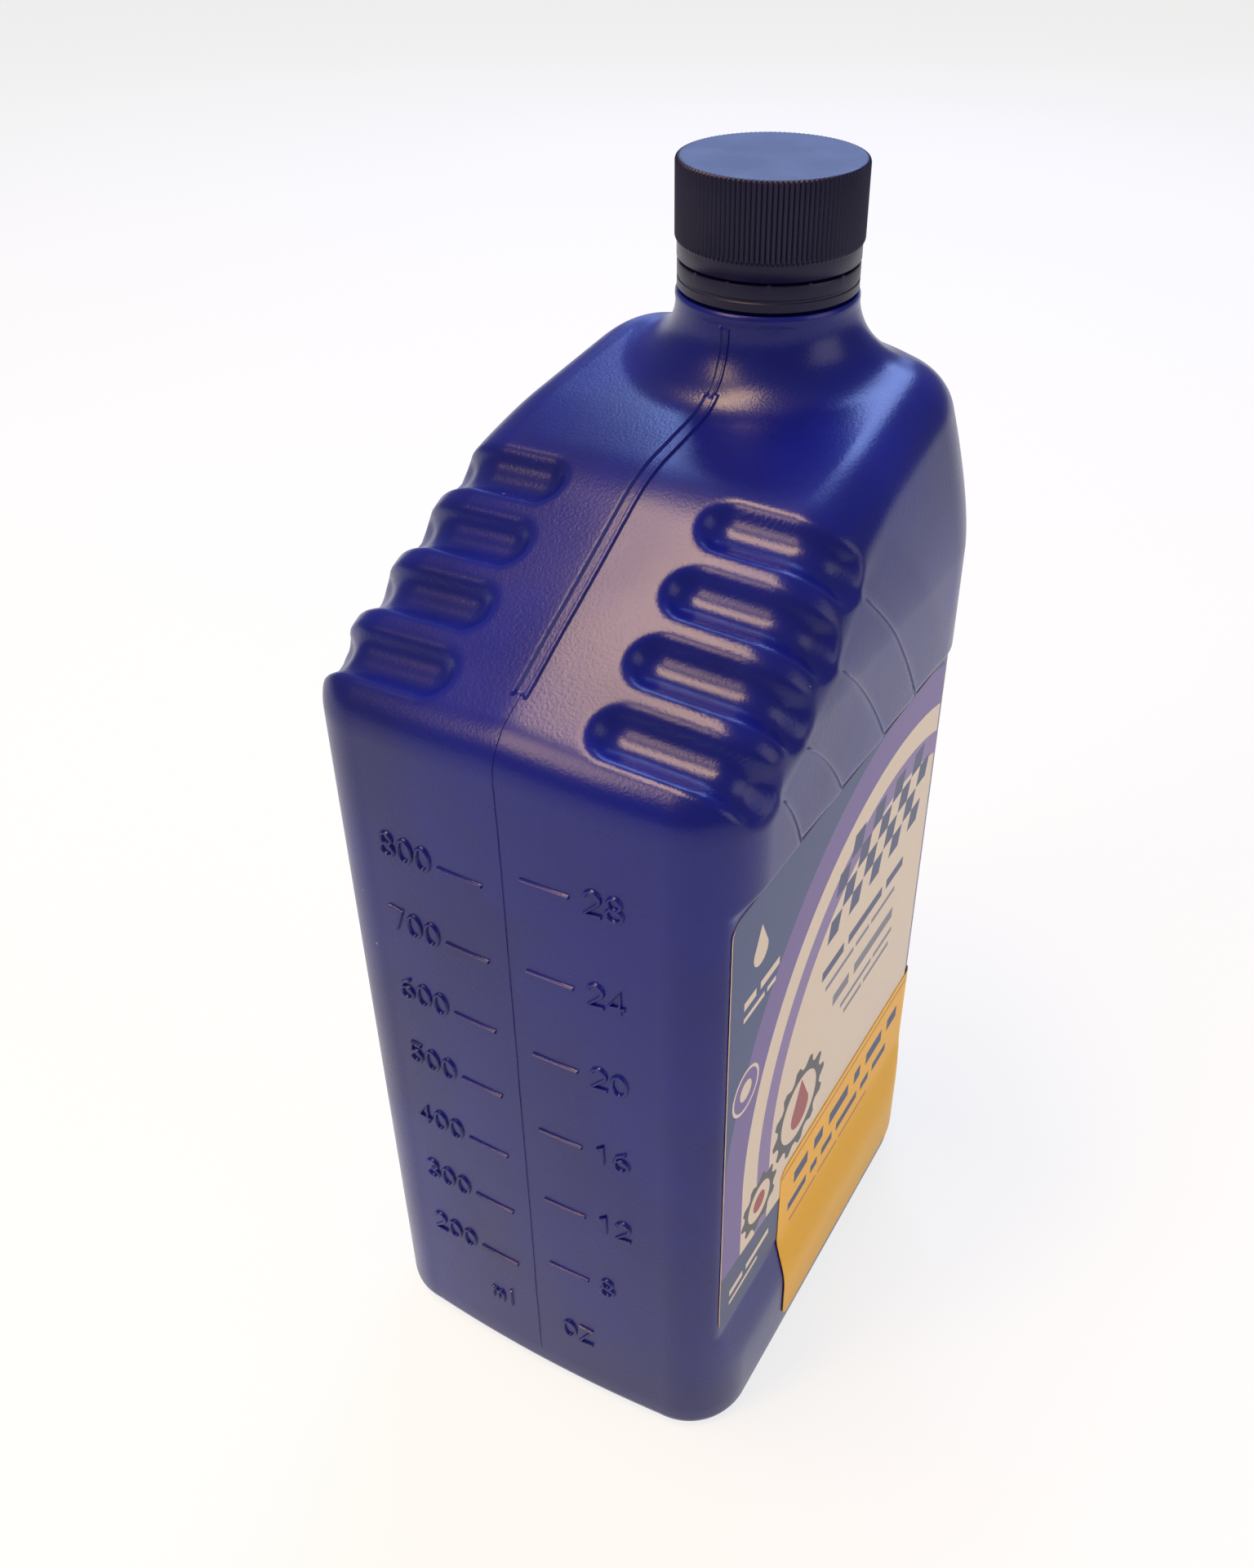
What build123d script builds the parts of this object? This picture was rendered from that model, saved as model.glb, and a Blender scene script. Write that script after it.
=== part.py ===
"""One-litre motor oil bottle: a blow-moulded shell with a screw cap, its tamper band, liner and labels.

Frame: origin at the middle of the footprint, on the surface that the bottle stands on.
+Z is up. The neck is offset towards +X, the narrow scale face looks to -X and the front label to -Y.
The parting plane of the mould is Y = 0, and the bottle is the same on both sides of it.
"""

import os
from math import atan2, cos, degrees, pi, radians, sin, tan

from build123d import *

# Shell
body_width = 102.0  # along X
body_depth = 74.0  # along Y
wall = 1.2
near_corner_r = 11.6  # vertical corners beside the narrow face
far_corner_r = 22.4  # vertical corners at the neck's end
face_bow = 1.1  # how far the narrow face swells at the parting plane
top_edge_r = 9.4
base_edge_r = 3.0

# Top outline in the parting plane
grip_slope_deg = 29.5
grip_foot_z = 151.7  # height of the grip slope where it starts
grip_foot_in = 10.0  # how far in from the narrow face that is
grip_run = 31.4  # along X, from the grip's foot to the bend below the neck
bend_r = 30.0
shoulder_slope_deg = 9.0
crown_past_neck = 3.5  # the shoulder's highest line lies this far past the neck's axis
crown_r = 20.0
far_fall_deg = 12.0

# Grip grooves
groove_count = 4
groove_pitch = 11.6
first_groove_along = -2.8  # from the grip's foot, up the slope
groove_r = 4.2
groove_sink = 2.6
groove_inner_y = 11.5  # where the rounded inner end starts

# Label panel, let into the front and the back
panel_sink = 2.3
panel_height = 99.0
panel_below_grip = 25.7  # from the grip's foot down to the panel's upper end
heel_run = 10.0  # height of the slope between the panel and the heel
panel_top_run = 2.5
panel_edge_r = 0.8

# Base
push_up = 1.6
standing_ring = 9.0
push_up_run = 4.0

# Neck
neck_from_far_face = 20.5  # from the far face to the neck's axis
neck_rise = 9.229  # from the shoulder's crown to the ledge
neck_root_r = 8.0  # the blend from the neck into the shoulder
finish_r = 12.3  # the neck above its ledge
finish_height = 17.4
finish_wall = 1.8
bead_depth = 0.9  # the bead holds the tamper band down
bead_low = 2.9  # above the ledge
bead_high = 4.1

# Cap and band
thread_room = 1.25  # between the neck and the inside of the cap, filled by the two threads
cap_wall = 1.25
cap_top_thickness = 1.3
rib_depth = 0.3
rib_count = 116
cap_ring_wall = 0.9
cap_ring_height = 2.7
cap_edge_r = 0.5
liner_thickness = 1.0
liner_clearance = 0.2
band_to_ledge = 0.4
band_height = 4.25
tear_gap = 0.35
band_wall = 0.85
ledge_past_band = 0.2
band_lip_height = 1.2
band_lip_clearance = 0.35

# Labels
label_thickness = 0.15
label_left_in = 6.0  # from the narrow face
label_right_in = 14.5  # from the far face
label_edge_gap = 1.5  # from the panel's upper and lower ends
label_corner_r = 2.5
sticker_thickness = 0.15
sticker_length = 63.0
sticker_right_in = 10.0  # from the far face
sticker_low_z = 5.0
sticker_past_ledge = 20.0  # how far it reaches up the front label from the panel's lower end

half_width = body_width / 2
half_depth = body_depth / 2
panel_y = half_depth - panel_sink
panel_high_z = grip_foot_z - panel_below_grip
panel_low_z = panel_high_z - panel_height
neck_x = half_width - neck_from_far_face
cap_inner_r = finish_r + thread_room
cap_r = cap_inner_r + cap_wall
band_r = cap_inner_r + band_wall
neck_r = band_r + ledge_past_band
far_reach = 20.0  # how far cutting tools run past the shell


def plan_outline(inset):
    """The footprint: bowed narrow face, small corners beside it and large ones at the far end."""
    low_x, high_x, side_y = inset - half_width, half_width - inset, half_depth - inset
    near_r, far_r = near_corner_r - inset, far_corner_r - inset
    near_x = low_x + face_bow
    knee = sin(pi / 4)
    with BuildSketch() as sketch:
        with BuildLine():
            ThreePointArc((near_x, side_y - near_r), (low_x, 0), (near_x, near_r - side_y))
            ThreePointArc(
                (near_x, near_r - side_y),
                (near_x + near_r * (1 - knee), near_r * (1 - knee) - side_y),
                (near_x + near_r, -side_y),
            )
            Line((near_x + near_r, -side_y), (high_x - far_r, -side_y))
            ThreePointArc(
                (high_x - far_r, -side_y),
                (high_x - far_r * (1 - knee), far_r * (1 - knee) - side_y),
                (high_x, far_r - side_y),
            )
            Line((high_x, far_r - side_y), (high_x, side_y - far_r))
            ThreePointArc(
                (high_x, side_y - far_r),
                (high_x - far_r * (1 - knee), side_y - far_r * (1 - knee)),
                (high_x - far_r, side_y),
            )
            Line((high_x - far_r, side_y), (near_x + near_r, side_y))
            ThreePointArc(
                (near_x + near_r, side_y),
                (near_x + near_r * (1 - knee), side_y - near_r * (1 - knee)),
                (near_x, side_y - near_r),
            )
        make_face()
    return sketch.sketch


def grip_point(along):
    """A point on the grip slope, in the parting plane, at a distance up from the grip's foot."""
    slope = radians(grip_slope_deg)
    foot_x = grip_foot_in - half_width
    return foot_x + along * cos(slope), grip_foot_z + along * sin(slope)


def side_outline(inset):
    """The top outline in the XZ plane, lowered by the inset square to each of its lines."""
    lines = []
    for (x, z), angle in top_lines():
        turn = radians(angle)
        lines.append(((x + inset * sin(turn), z - inset * cos(turn)), turn))
    start_x, end_x = -half_width - far_reach, half_width + far_reach
    bend = crossing(lines[0], lines[1])
    crown = crossing(lines[1], lines[2])
    start, end = (start_x, height_at(lines[0], start_x)), (end_x, height_at(lines[2], end_x))
    with BuildSketch(Plane.XZ) as sketch:
        with BuildLine():
            top = FilletPolyline(start, bend, crown, end, radius=[bend_r - inset, crown_r - inset])
            Polyline(top @ 1, (end_x, inset), (start_x, inset), top @ 0)
        make_face()
    return sketch.sketch


def top_lines():
    """The three straight lines of the top outline, each as a point and its slope in degrees."""
    bend = grip_point(grip_run / cos(radians(grip_slope_deg)))
    crown_x = neck_x + crown_past_neck
    crown_z = bend[1] + (crown_x - bend[0]) * tan(radians(shoulder_slope_deg))
    return [
        (grip_point(0), grip_slope_deg),
        (bend, shoulder_slope_deg),
        ((crown_x, crown_z), -far_fall_deg),
    ]


def ledge_z():
    """The height of the neck's ledge over the shoulder's crown."""
    crown = top_lines()[-1][0]
    return crown[1] + neck_rise


def rim_z():
    """The height of the neck's rim."""
    return ledge_z() + finish_height


def height_at(line, x):
    """The height of a line at x."""
    (px, pz), turn = line
    return pz + (x - px) * tan(turn)


def crossing(one, two):
    """Where two lines of the XZ plane meet."""
    (ax, az), a = one
    (bx, bz), b = two
    x = (bz - az + ax * tan(a) - bx * tan(b)) / (tan(a) - tan(b))
    return x, height_at(one, x)


def rounded_block(inset):
    """The plan and the side outline crossed, with the edge round the top and the base edge rounded."""
    plan = extrude(plan_outline(inset), amount=rim_z())
    side = extrude(side_outline(inset), amount=body_depth, both=True)
    block = plan & side
    ends = block.edges().filter_by(lambda edge: not is_vertical(edge) and not is_inner_line(edge))
    middle = panel_high_z / 2
    block = fillet(ends.filter_by(lambda edge: edge.center().Z > middle), top_edge_r - inset)
    return fillet(block.edges().group_by(Axis.Z)[0], base_edge_r)


def is_vertical(edge):
    """Whether an edge runs along Z."""
    size = edge.bounding_box().size
    return size.X < near_corner_r / 100 and size.Y < near_corner_r / 100


def is_inner_line(edge):
    """Whether an edge crosses the top from side to side, between two of its faces."""
    box = edge.bounding_box()
    inside = half_width - near_corner_r
    return box.size.Y > body_depth / 2 and abs(box.center().X) < inside and box.size.X < wall


def grip_grooves(inset):
    """The grooves of both sides, grown by the inset so that the wall stays even behind them."""
    slope = radians(grip_slope_deg)
    lift = groove_r - groove_sink
    length = half_depth - groove_inner_y + far_reach
    tools = Part()
    for index in range(groove_count):
        x, z = grip_point(first_groove_along + index * groove_pitch)
        x, z = x - lift * sin(slope), z + lift * cos(slope)
        for side in (-1, 1):
            y = side * (groove_inner_y + groove_r)
            axis = Plane(origin=(x, y, z), z_dir=(0, side, 0))
            rod = axis * Cylinder(groove_r + inset, length, align=(Align.CENTER, Align.CENTER, Align.MIN))
            tools += rod + Pos(x, y, z) * Sphere(groove_r + inset)
    return tools


def panel_recesses(inset):
    """The sunk panels of the front and the back, as bars along X with a sloping lower and upper end."""
    sunk = panel_y - inset
    past = half_depth + far_reach
    low_slope = heel_run / panel_sink
    high_slope = panel_top_run / panel_sink
    reach = past - panel_y
    outline = [
        (sunk, panel_low_z - inset / 2),
        (sunk + reach, panel_low_z - inset / 2 - reach * low_slope),
        (sunk + reach, panel_high_z + inset / 2 + reach * high_slope),
        (sunk, panel_high_z + inset / 2),
    ]
    bar = extrude(make_face(Plane.YZ * Polyline(*outline, close=True)), amount=body_width, both=True)
    inner = bar.edges().filter_by(Axis.X).filter_by(lambda edge: edge.center().Y < half_depth)
    bar = fillet(inner, panel_edge_r + inset)
    return bar + mirror(bar, Plane.XZ)


def body_form(inset):
    """The rounded block with the root of the neck blended into its shoulder."""
    block = rounded_block(inset)
    radius, top_z = neck_r - inset, ledge_z() - inset
    middle = top_z / 2
    form = block + Pos(neck_x, 0, middle) * bottom_cylinder(radius, top_z - middle)
    root = form.edges().filter_by(lambda edge: is_neck_root(edge, radius, top_z))
    return fillet(root, neck_root_r + inset)


def is_neck_root(edge, radius, top_z):
    """Whether an edge lies where the neck comes out of the shoulder."""
    box = edge.bounding_box()
    reach = max(abs(box.max.X - neck_x), abs(box.min.X - neck_x), abs(box.min.Y), abs(box.max.Y))
    flat = box.size.Z < radius / 2
    return reach < radius + wall / 10 and flat and top_z / 2 < box.center().Z < top_z - wall


def neck_finish():
    """The neck above its ledge, with the bead that holds the tamper band."""
    outline = [
        (0, 0),
        (finish_r, 0),
        (finish_r, bead_low),
        (finish_r + bead_depth, bead_low),
        (finish_r, bead_high),
        (finish_r, finish_height),
        (0, finish_height),
    ]
    profile = make_face(Plane.XZ * Polyline(*outline, close=True))
    return Pos(neck_x, 0, ledge_z()) * revolve(profile, Axis.Z)


def base_hollow():
    """The shallow push-up under the bottle, inside its standing ring."""
    mouth = plan_outline(standing_ring)
    return extrude(mouth, amount=push_up, taper=degrees(atan2(push_up_run, push_up)))


def shell():
    """The blow-moulded bottle, hollow and open at its neck."""
    outer = body_form(0) - panel_recesses(0) - grip_grooves(0) + neck_finish() - base_hollow()
    inner = body_form(wall) - panel_recesses(wall) - grip_grooves(wall)
    floor = Pos(0, 0, wall) * base_hollow()
    bore = Pos(neck_x, 0, ledge_z() / 2) * bottom_cylinder(finish_r - finish_wall, ledge_z())
    return outer - (inner - floor) - bore


def bottom_cylinder(radius, height):
    """A cylinder that stands on its own origin."""
    return Cylinder(radius, height, align=(Align.CENTER, Align.CENTER, Align.MIN))


def ribbed_disc(height):
    """The ribbed part of the cap, solid: shallow vee flutes all the way round."""
    points = []
    for index in range(2 * rib_count):
        angle = pi * index / rib_count
        radius = cap_r - rib_depth * (index % 2)
        points.append((radius * cos(angle), radius * sin(angle)))
    return extrude(make_face(Polyline(*points, close=True)), amount=height)


def screw_cap():
    """The cap: ribbed skirt over a smooth ring, open below."""
    low_z = ledge_z() + band_to_ledge + band_height + tear_gap
    ribs_low_z = low_z + cap_ring_height
    inside_z = rim_z() + liner_thickness
    top_z = inside_z + cap_top_thickness
    ribbed = Pos(0, 0, ribs_low_z) * ribbed_disc(top_z - ribs_low_z)
    dome = bottom_cylinder(cap_r, top_z)
    ribbed &= fillet(dome.edges().group_by(Axis.Z)[-1], cap_edge_r)
    ring = Pos(0, 0, low_z) * bottom_cylinder(cap_inner_r + cap_ring_wall, cap_ring_height)
    hollow = bottom_cylinder(cap_inner_r, inside_z)
    return Pos(neck_x, 0, 0) * (ribbed + ring - hollow)


def cap_liner():
    """The foam wad between the cap's top and the rim of the neck."""
    return Pos(neck_x, 0, rim_z()) * bottom_cylinder(cap_inner_r - liner_clearance, liner_thickness)


def tamper_band():
    """The ring that stays on the neck, with a lip that catches under the neck's bead."""
    ring = bottom_cylinder(band_r, band_height) - bottom_cylinder(cap_inner_r, band_height)
    lip_r = finish_r + band_lip_clearance
    lip = bottom_cylinder(band_r, band_lip_height) - bottom_cylinder(lip_r, band_lip_height)
    return Pos(neck_x, 0, ledge_z() + band_to_ledge) * (ring + lip)


def face_label():
    """The film on the front panel: a thin skin over the shell, with rounded corners."""
    left, right = label_left_in - half_width, half_width - label_right_in
    low, high = panel_low_z + label_edge_gap, panel_high_z - label_edge_gap
    return skin_patch(label_thickness, left, right, low, high)


def skin_patch(thickness, left, right, low, high):
    """A patch of skin on the front of the shell, seen along Y as a rectangle with rounded corners."""
    centre = ((left + right) / 2, -half_depth - far_reach, (low + high) / 2)
    front = Plane(origin=centre, x_dir=(1, 0, 0), z_dir=(0, -1, 0))
    outline = front * RectangleRounded(right - left, high - low, label_corner_r)
    window = extrude(outline, amount=half_depth + far_reach - near_corner_r, dir=(0, 1, 0))
    grown = rounded_block(-thickness) - panel_recesses(-thickness)
    return (grown & window) - (rounded_block(0) - panel_recesses(0))


def promo_sticker(label):
    """The sticker that bends from the label over the ledge onto the heel and round the far corner."""
    right, high = half_width - sticker_right_in, panel_low_z + sticker_past_ledge
    patch = skin_patch(label_thickness + sticker_thickness, right - sticker_length, right, sticker_low_z, high)
    return patch - label


def write_parts():
    """Builds every piece and writes each to its own STEP file."""
    label = face_label()
    pieces = {
        "bottle": shell(),
        "cap": screw_cap(),
        "cap_liner": cap_liner(),
        "tamper_band": tamper_band(),
        "front_label": label,
        "back_label": mirror(label, Plane.XZ),
        "promo_sticker": promo_sticker(label),
    }
    os.makedirs("parts", exist_ok=True)
    for name, piece in pieces.items():
        export_step(piece, f"parts/{name}.step")


write_parts()
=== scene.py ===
"""Looks for a one-litre motor oil bottle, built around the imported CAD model.

Everything is in metres, in the CAD model's frame: +Z up, +X towards the neck, the narrow scale face to -X
and the front label to -Y. The shell is drawn as a distance field and followed by a grid of columns, so that
its grooves, panels and blends are real shape, and the print is cut into the labels' own meshes.
"""

from math import ceil, cos, pi, radians, sin, sqrt, tan

import bpy
import numpy as np
from bpy.props import FloatProperty, FloatVectorProperty, IntProperty, PointerProperty
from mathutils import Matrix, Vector
from mathutils.geometry import delaunay_2d_cdt


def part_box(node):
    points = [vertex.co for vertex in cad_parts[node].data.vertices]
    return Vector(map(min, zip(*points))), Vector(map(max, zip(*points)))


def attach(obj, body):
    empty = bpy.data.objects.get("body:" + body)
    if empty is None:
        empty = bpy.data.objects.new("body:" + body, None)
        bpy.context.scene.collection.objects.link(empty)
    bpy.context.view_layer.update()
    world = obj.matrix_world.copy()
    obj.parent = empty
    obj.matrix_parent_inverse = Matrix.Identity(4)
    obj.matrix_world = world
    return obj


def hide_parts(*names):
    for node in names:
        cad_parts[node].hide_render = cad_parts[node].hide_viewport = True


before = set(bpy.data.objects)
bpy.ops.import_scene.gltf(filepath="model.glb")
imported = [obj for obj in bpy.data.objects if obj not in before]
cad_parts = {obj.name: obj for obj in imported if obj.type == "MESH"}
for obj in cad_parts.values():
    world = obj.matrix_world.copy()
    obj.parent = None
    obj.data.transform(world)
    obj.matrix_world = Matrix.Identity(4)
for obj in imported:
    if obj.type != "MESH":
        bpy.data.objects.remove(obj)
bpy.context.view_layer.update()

bl_info = {
    "name": "Oil bottle",
    "version": (1, 0, 0),
    "blender": (4, 5, 0),
    "location": "3D View > Sidebar > Oil bottle",
    "description": "Builds a blow-moulded oil bottle with its cap, labels and a plain studio",
    "category": "Add Mesh",
}

MM = 0.001
OUNCE = 0.295735  # a fluid ounce in hundreds of millilitres
SKIN_UNDER = 0.25 * MM  # how deep the raised strokes' edges lie under the skin

# Soft boxes: name, direction from the bottle, distance, size, radiance and tint
SOFT_BOXES = (
    ("warm_top_box", (-0.17, 0.25, 0.95), 1.0, (0.64, 0.26), 20.0, "ffd4a0"),
    ("warm_side_box", (-0.68, 0.37, 0.63), 1.0, (0.30, 0.42), 11.0, "ffd4a0"),
    ("cool_box", (0.69, 0.22, 0.66), 1.1, (0.54, 0.46), 9.0, "9dbaff"),
    ("cool_low_box", (0.87, 0.42, 0.26), 1.1, (0.56, 0.40), 1.7, "9dbaff"),
    ("front_box", (0.10, -0.93, 0.35), 1.2, (0.70, 0.70), 1.7, "fff1e2"),
)
WORLD_COLOUR, WORLD_STRENGTH = (0.92, 0.94, 1, 1), 0.22
FLOOR_REACH = 3.0
FOCAL_MM, SENSOR_MM = 33.88, 36.0
LENS_SHIFT = (-0.0254, -0.0046)
CAMERA_PLACE, CAMERA_GAZE = (-0.1806, -0.1008, 0.2620), (0.700, 0.395, -0.595)

# Places read from the CAD model
BOTTLE_LOW, BOTTLE_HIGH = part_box("bottle")
CAP_LOW, CAP_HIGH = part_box("cap")
BAND_LOW, BAND_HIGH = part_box("tamper_band")
LINER_LOW, LINER_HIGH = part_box("cap_liner")
LABEL_LOW, LABEL_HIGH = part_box("front_label")
STICKER_LOW, STICKER_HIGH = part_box("promo_sticker")
HALF_WIDTH = (BOTTLE_HIGH.x - BOTTLE_LOW.x) / 2
HALF_DEPTH = (BOTTLE_HIGH.y - BOTTLE_LOW.y) / 2
NECK_X = (CAP_LOW.x + CAP_HIGH.x) / 2
RIM_Z = BOTTLE_HIGH.z


def linear(code):
    """An sRGB hex colour as three linear values."""
    parts = [int(code[i : i + 2], 16) / 255 for i in (0, 2, 4)]
    return tuple(c / 12.92 if c <= 0.04045 else ((c + 0.055) / 1.055) ** 2.4 for c in parts)


def length(name, text, value):
    """A size in millimetres as a length property in metres."""
    return FloatProperty(name=name, description=text, default=value * MM, unit="LENGTH", precision=5)


def angle(name, text, degrees):
    """An angle property, given in degrees."""
    return FloatProperty(name=name, description=text, default=radians(degrees), subtype="ANGLE")


def colour(name, text, code):
    """A colour property, given as sRGB hex."""
    return FloatVectorProperty(
        name=name, description=text, default=linear(code), subtype="COLOR", size=3, min=0, max=1
    )


# Sizes and colours


class ShellSizes(bpy.types.PropertyGroup):
    """Sizes of the blow-moulded shell."""

    wall: length("Wall", "Thickness of the shell", 1.2)
    near_corner: length("Near corners", "Radius of the upright corners beside the scale face", 11.6)
    far_corner: length("Far corners", "Radius of the upright corners at the neck's end", 22.4)
    face_bow: length("Face bow", "How far the scale face swells at the parting line", 1.1)
    grip_edge: length("Grip edge", "Radius round the top of the grip", 9.4)
    shoulder_edge: length("Shoulder edge", "Radius round the top of the shoulder", 6.5)
    base_edge: length("Base edge", "Radius round the base", 3.0)
    grip_foot_z: length("Grip foot", "Height at which the grip slope starts", 151.7)
    grip_foot_in: length("Grip foot inset", "How far in from the scale face the grip starts", 10.0)
    grip_run: length("Grip run", "Length of the grip slope along X", 31.4)
    grip_slope: angle("Grip slope", "Slope of the grip", 29.5)
    shoulder_slope: angle("Shoulder slope", "Slope of the shoulder below the crown", 9.0)
    crown_past_neck: length("Crown past neck", "The crown's distance past the neck's axis", 3.5)
    far_fall: angle("Far fall", "Slope of the shoulder beyond the crown", 12.0)
    roof: angle("Roof", "How far each half of the grip slope tilts outwards", 4.5)
    lean: length("Shoulder lean", "How far the sides lean in at the crown's height", 6.0)
    lean_low_z: length("Lean starts", "Height at which the sides start to lean in", 147.0)
    lean_height: length("Lean height", "Height over which the sides lean in", 26.0)
    groove_pitch: length("Groove pitch", "Distance between the grip grooves", 11.6)
    groove_first: length("First groove", "The first groove's place up the slope", -2.8)
    groove_radius: length("Groove radius", "Radius of the grip grooves", 4.2)
    groove_sink: length("Groove depth", "Depth of the grip grooves", 2.6)
    groove_inner: length("Groove inner end", "Distance of the grooves from the parting line", 11.5)
    groove_end: length("Groove outer end", "How far below the slope the grooves run out on the sides", 9.0)
    panel_sink: length("Panel sink", "Depth of the label panels", 2.3)
    panel_low_z: length("Panel foot", "Height of the label panel's lower end", 27.0)
    panel_high_z: length("Panel head", "Height of the label panel's upper end", 126.0)
    heel_run: length("Heel slope", "Height of the slope between the panel and the heel", 10.0)
    panel_top_run: length("Panel top slope", "Height of the slope over the panel", 2.5)
    crease_depth: length("Crease depth", "Step of the creases in the shoulder's sides", 0.5)
    crease_bow: length("Crease bow", "How far the creases bow towards the neck", 2.2)
    neck_radius: length("Neck radius", "Radius of the neck below its ledge", 14.6)
    neck_root: length("Neck root", "Blend from the shoulder into the neck", 9.0)
    ledge_z: length("Ledge", "Height of the neck's ledge", 185.6)
    finish_radius: length("Finish radius", "Radius of the neck above its ledge", 12.3)
    bore: length("Bore", "Radius of the neck's bore", 10.5)
    bead: length("Bead", "Height of the bead over the neck's finish", 0.9)
    push_up: length("Push-up", "Height of the hollow under the base", 1.6)
    standing_ring: length("Standing ring", "Width of the ring that the bottle stands on", 9.0)
    grooves: IntProperty(name="Grooves", description="Grip grooves on each side", default=4)
    columns: IntProperty(name="Columns", description="Columns of the mesh round the shell", default=344)
    top_rings: IntProperty(name="Top rings", description="Rings of the mesh over the shoulder", default=128)


class ScaleSizes(bpy.types.PropertyGroup):
    """Sizes of the raised scale on the narrow face and of the parting line."""

    per_100_ml: length("Spacing", "Height of 100 ml", 15.2)
    zero_z: length("Zero", "Height at which the scale reads nothing", -1.1)
    mark_in: length("Mark start", "Distance of the marks from the parting line", 3.7)
    mark_out: length("Mark end", "Outer end of the marks", 11.5)
    digit_in: length("Digit start", "Distance of the numbers from the parting line", 13.2)
    digit_height: length("Digit height", "Height of the numbers", 4.2)
    digit_width: length("Digit width", "Width of a number's figure", 2.5)
    digit_pitch: length("Digit pitch", "Distance from one figure to the next", 3.5)
    stroke: length("Stroke", "Width of the raised strokes", 0.75)
    relief: length("Relief", "Height of the raised strokes", 0.42)
    unit_z: length("Unit height", "Height of the unit names' foot", 15.2)
    seam_width: length("Seam width", "Width of the double ridge on the slope", 3.1)
    seam_height: length("Seam height", "Height of the double ridge on the slope", 0.45)
    crease_height: length("Crease height", "Height of the thin line along a crease", 0.22)
    flash_width: length("Flash width", "Width of the thin flash on the faces", 0.5)
    flash_height: length("Flash height", "Height of the thin flash on the faces", 0.16)


class ClosureSizes(bpy.types.PropertyGroup):
    """Sizes of the cap, its band and its liner."""

    ribs: IntProperty(name="Ribs", description="Ribs round the cap", default=116)
    rib_depth: length("Rib depth", "Depth of the flutes between the ribs", 0.32)
    ring_height: length("Ring height", "Height of the smooth ring below the ribs", 2.7)
    ring_in: length("Ring inset", "How far the smooth ring lies inside the ribs", 0.35)
    wall: length("Wall", "Wall of the cap's skirt", 1.25)
    top: length("Top", "Thickness of the cap's top", 1.3)
    edge: length("Edge", "Radius round the cap's top", 0.5)
    dish: length("Dish", "How far the top is let in inside its rim", 0.07)
    thread_pitch: length("Thread pitch", "Rise of the thread in one turn", 4.0)
    thread_depth: length("Thread depth", "Height of the thread's ridge", 0.95)
    thread_width: length("Thread width", "Width of the thread's ridge", 1.5)
    band_wall: length("Band wall", "Wall of the tamper band", 0.85)
    bridges: IntProperty(name="Bridges", description="Parted bridges on the tamper band", default=14)
    bridge_height: length("Bridge height", "Height of what is left of a bridge", 0.22)


class LabelSizes(bpy.types.PropertyGroup):
    """Sizes of the labels' print."""

    film: length("Film", "Thickness of the label", 0.15)
    corner: length("Corner", "Radius of the label's corners", 2.5)
    arc_radius: length("Arc radius", "Outer radius of the curved stripes", 66.0)
    arc_x: length("Arc centre X", "The stripes' centre along X", 20.0)
    arc_z: length("Arc centre Z", "The stripes' centre along Z", 59.0)
    stripe: length("Stripe", "Width of the outer stripe", 8.0)
    chequer: length("Chequer", "Side of a chequer square", 4.4)


class Colours(bpy.types.PropertyGroup):
    """Base colours of the pieces and the inks."""

    shell: colour("Shell", "Blue pigment of the shell", "0f1886")
    shell_deep: colour("Shell, deep", "The pigment where it lies thicker", "0d136e")
    cap: colour("Cap", "Dark pigment of the cap and the band", "17163a")
    liner: colour("Liner", "Foam of the liner", "e9e7df")
    cream: colour("Cream ink", "Ground of the label", "e9dcc6")
    slate: colour("Slate ink", "Corner field of the label", "203c7c")
    purple: colour("Purple ink", "Curved stripes", "6c57a4")
    lilac: colour("Lilac ink", "Second curved stripe", "8470b0")
    navy: colour("Navy ink", "Dark print", "1f3570")
    grey: colour("Grey ink", "Fine print", "77758a")
    red: colour("Red ink", "The emblem's drop", "a02a2e")
    dark: colour("Dark ink", "The emblem's gear", "39363f")
    yellow: colour("Yellow stock", "Ground of the sticker", "ffc206")
    floor: colour("Floor", "Studio floor", "f4f4f4")


# Nodes and materials


def add_node(tree, kind, settings=None, values=None, links=None):
    """Adds one node with its settings, its socket values and the links into it."""
    node = tree.nodes.new(kind)
    for name, value in (settings or {}).items():
        setattr(node, name, value)
    for name, value in (values or {}).items():
        node.inputs[name].default_value = value
    for name, source in (links or {}).items():
        tree.links.new(source, node.inputs[name])
    return node


def new_material(name, base, roughness, ior):
    """A material with one principled shader, and the object's own coordinates for its patterns."""
    material = bpy.data.materials.new(name)
    material.use_nodes = True
    tree = material.node_tree
    shader = tree.nodes["Principled BSDF"]
    shader.inputs["Base Color"].default_value = (*base, 1)
    shader.inputs["Roughness"].default_value = roughness
    shader.inputs["IOR"].default_value = ior
    shader.inputs["Specular IOR Level"].default_value = 0.3
    place = add_node(tree, "ShaderNodeTexCoord").outputs["Object"]
    return material, tree, shader, place


def mottle(tree, shader, place, one, two, patch):
    """Lets the base colour drift between two shades in patches of a given size."""
    noise = add_node(
        tree,
        "ShaderNodeTexNoise",
        values={"Scale": 1 / patch, "Detail": 3.0, "Roughness": 0.55},
        links={"Vector": place},
    )
    ramp = add_node(tree, "ShaderNodeValToRGB", links={"Fac": noise.outputs["Fac"]})
    ramp.color_ramp.elements[0].position = 0.35
    ramp.color_ramp.elements[0].color = (*one, 1)
    ramp.color_ramp.elements[1].position = 0.65
    ramp.color_ramp.elements[1].color = (*two, 1)
    tree.links.new(ramp.outputs["Color"], shader.inputs["Base Color"])
    return ramp.outputs["Color"]


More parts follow.
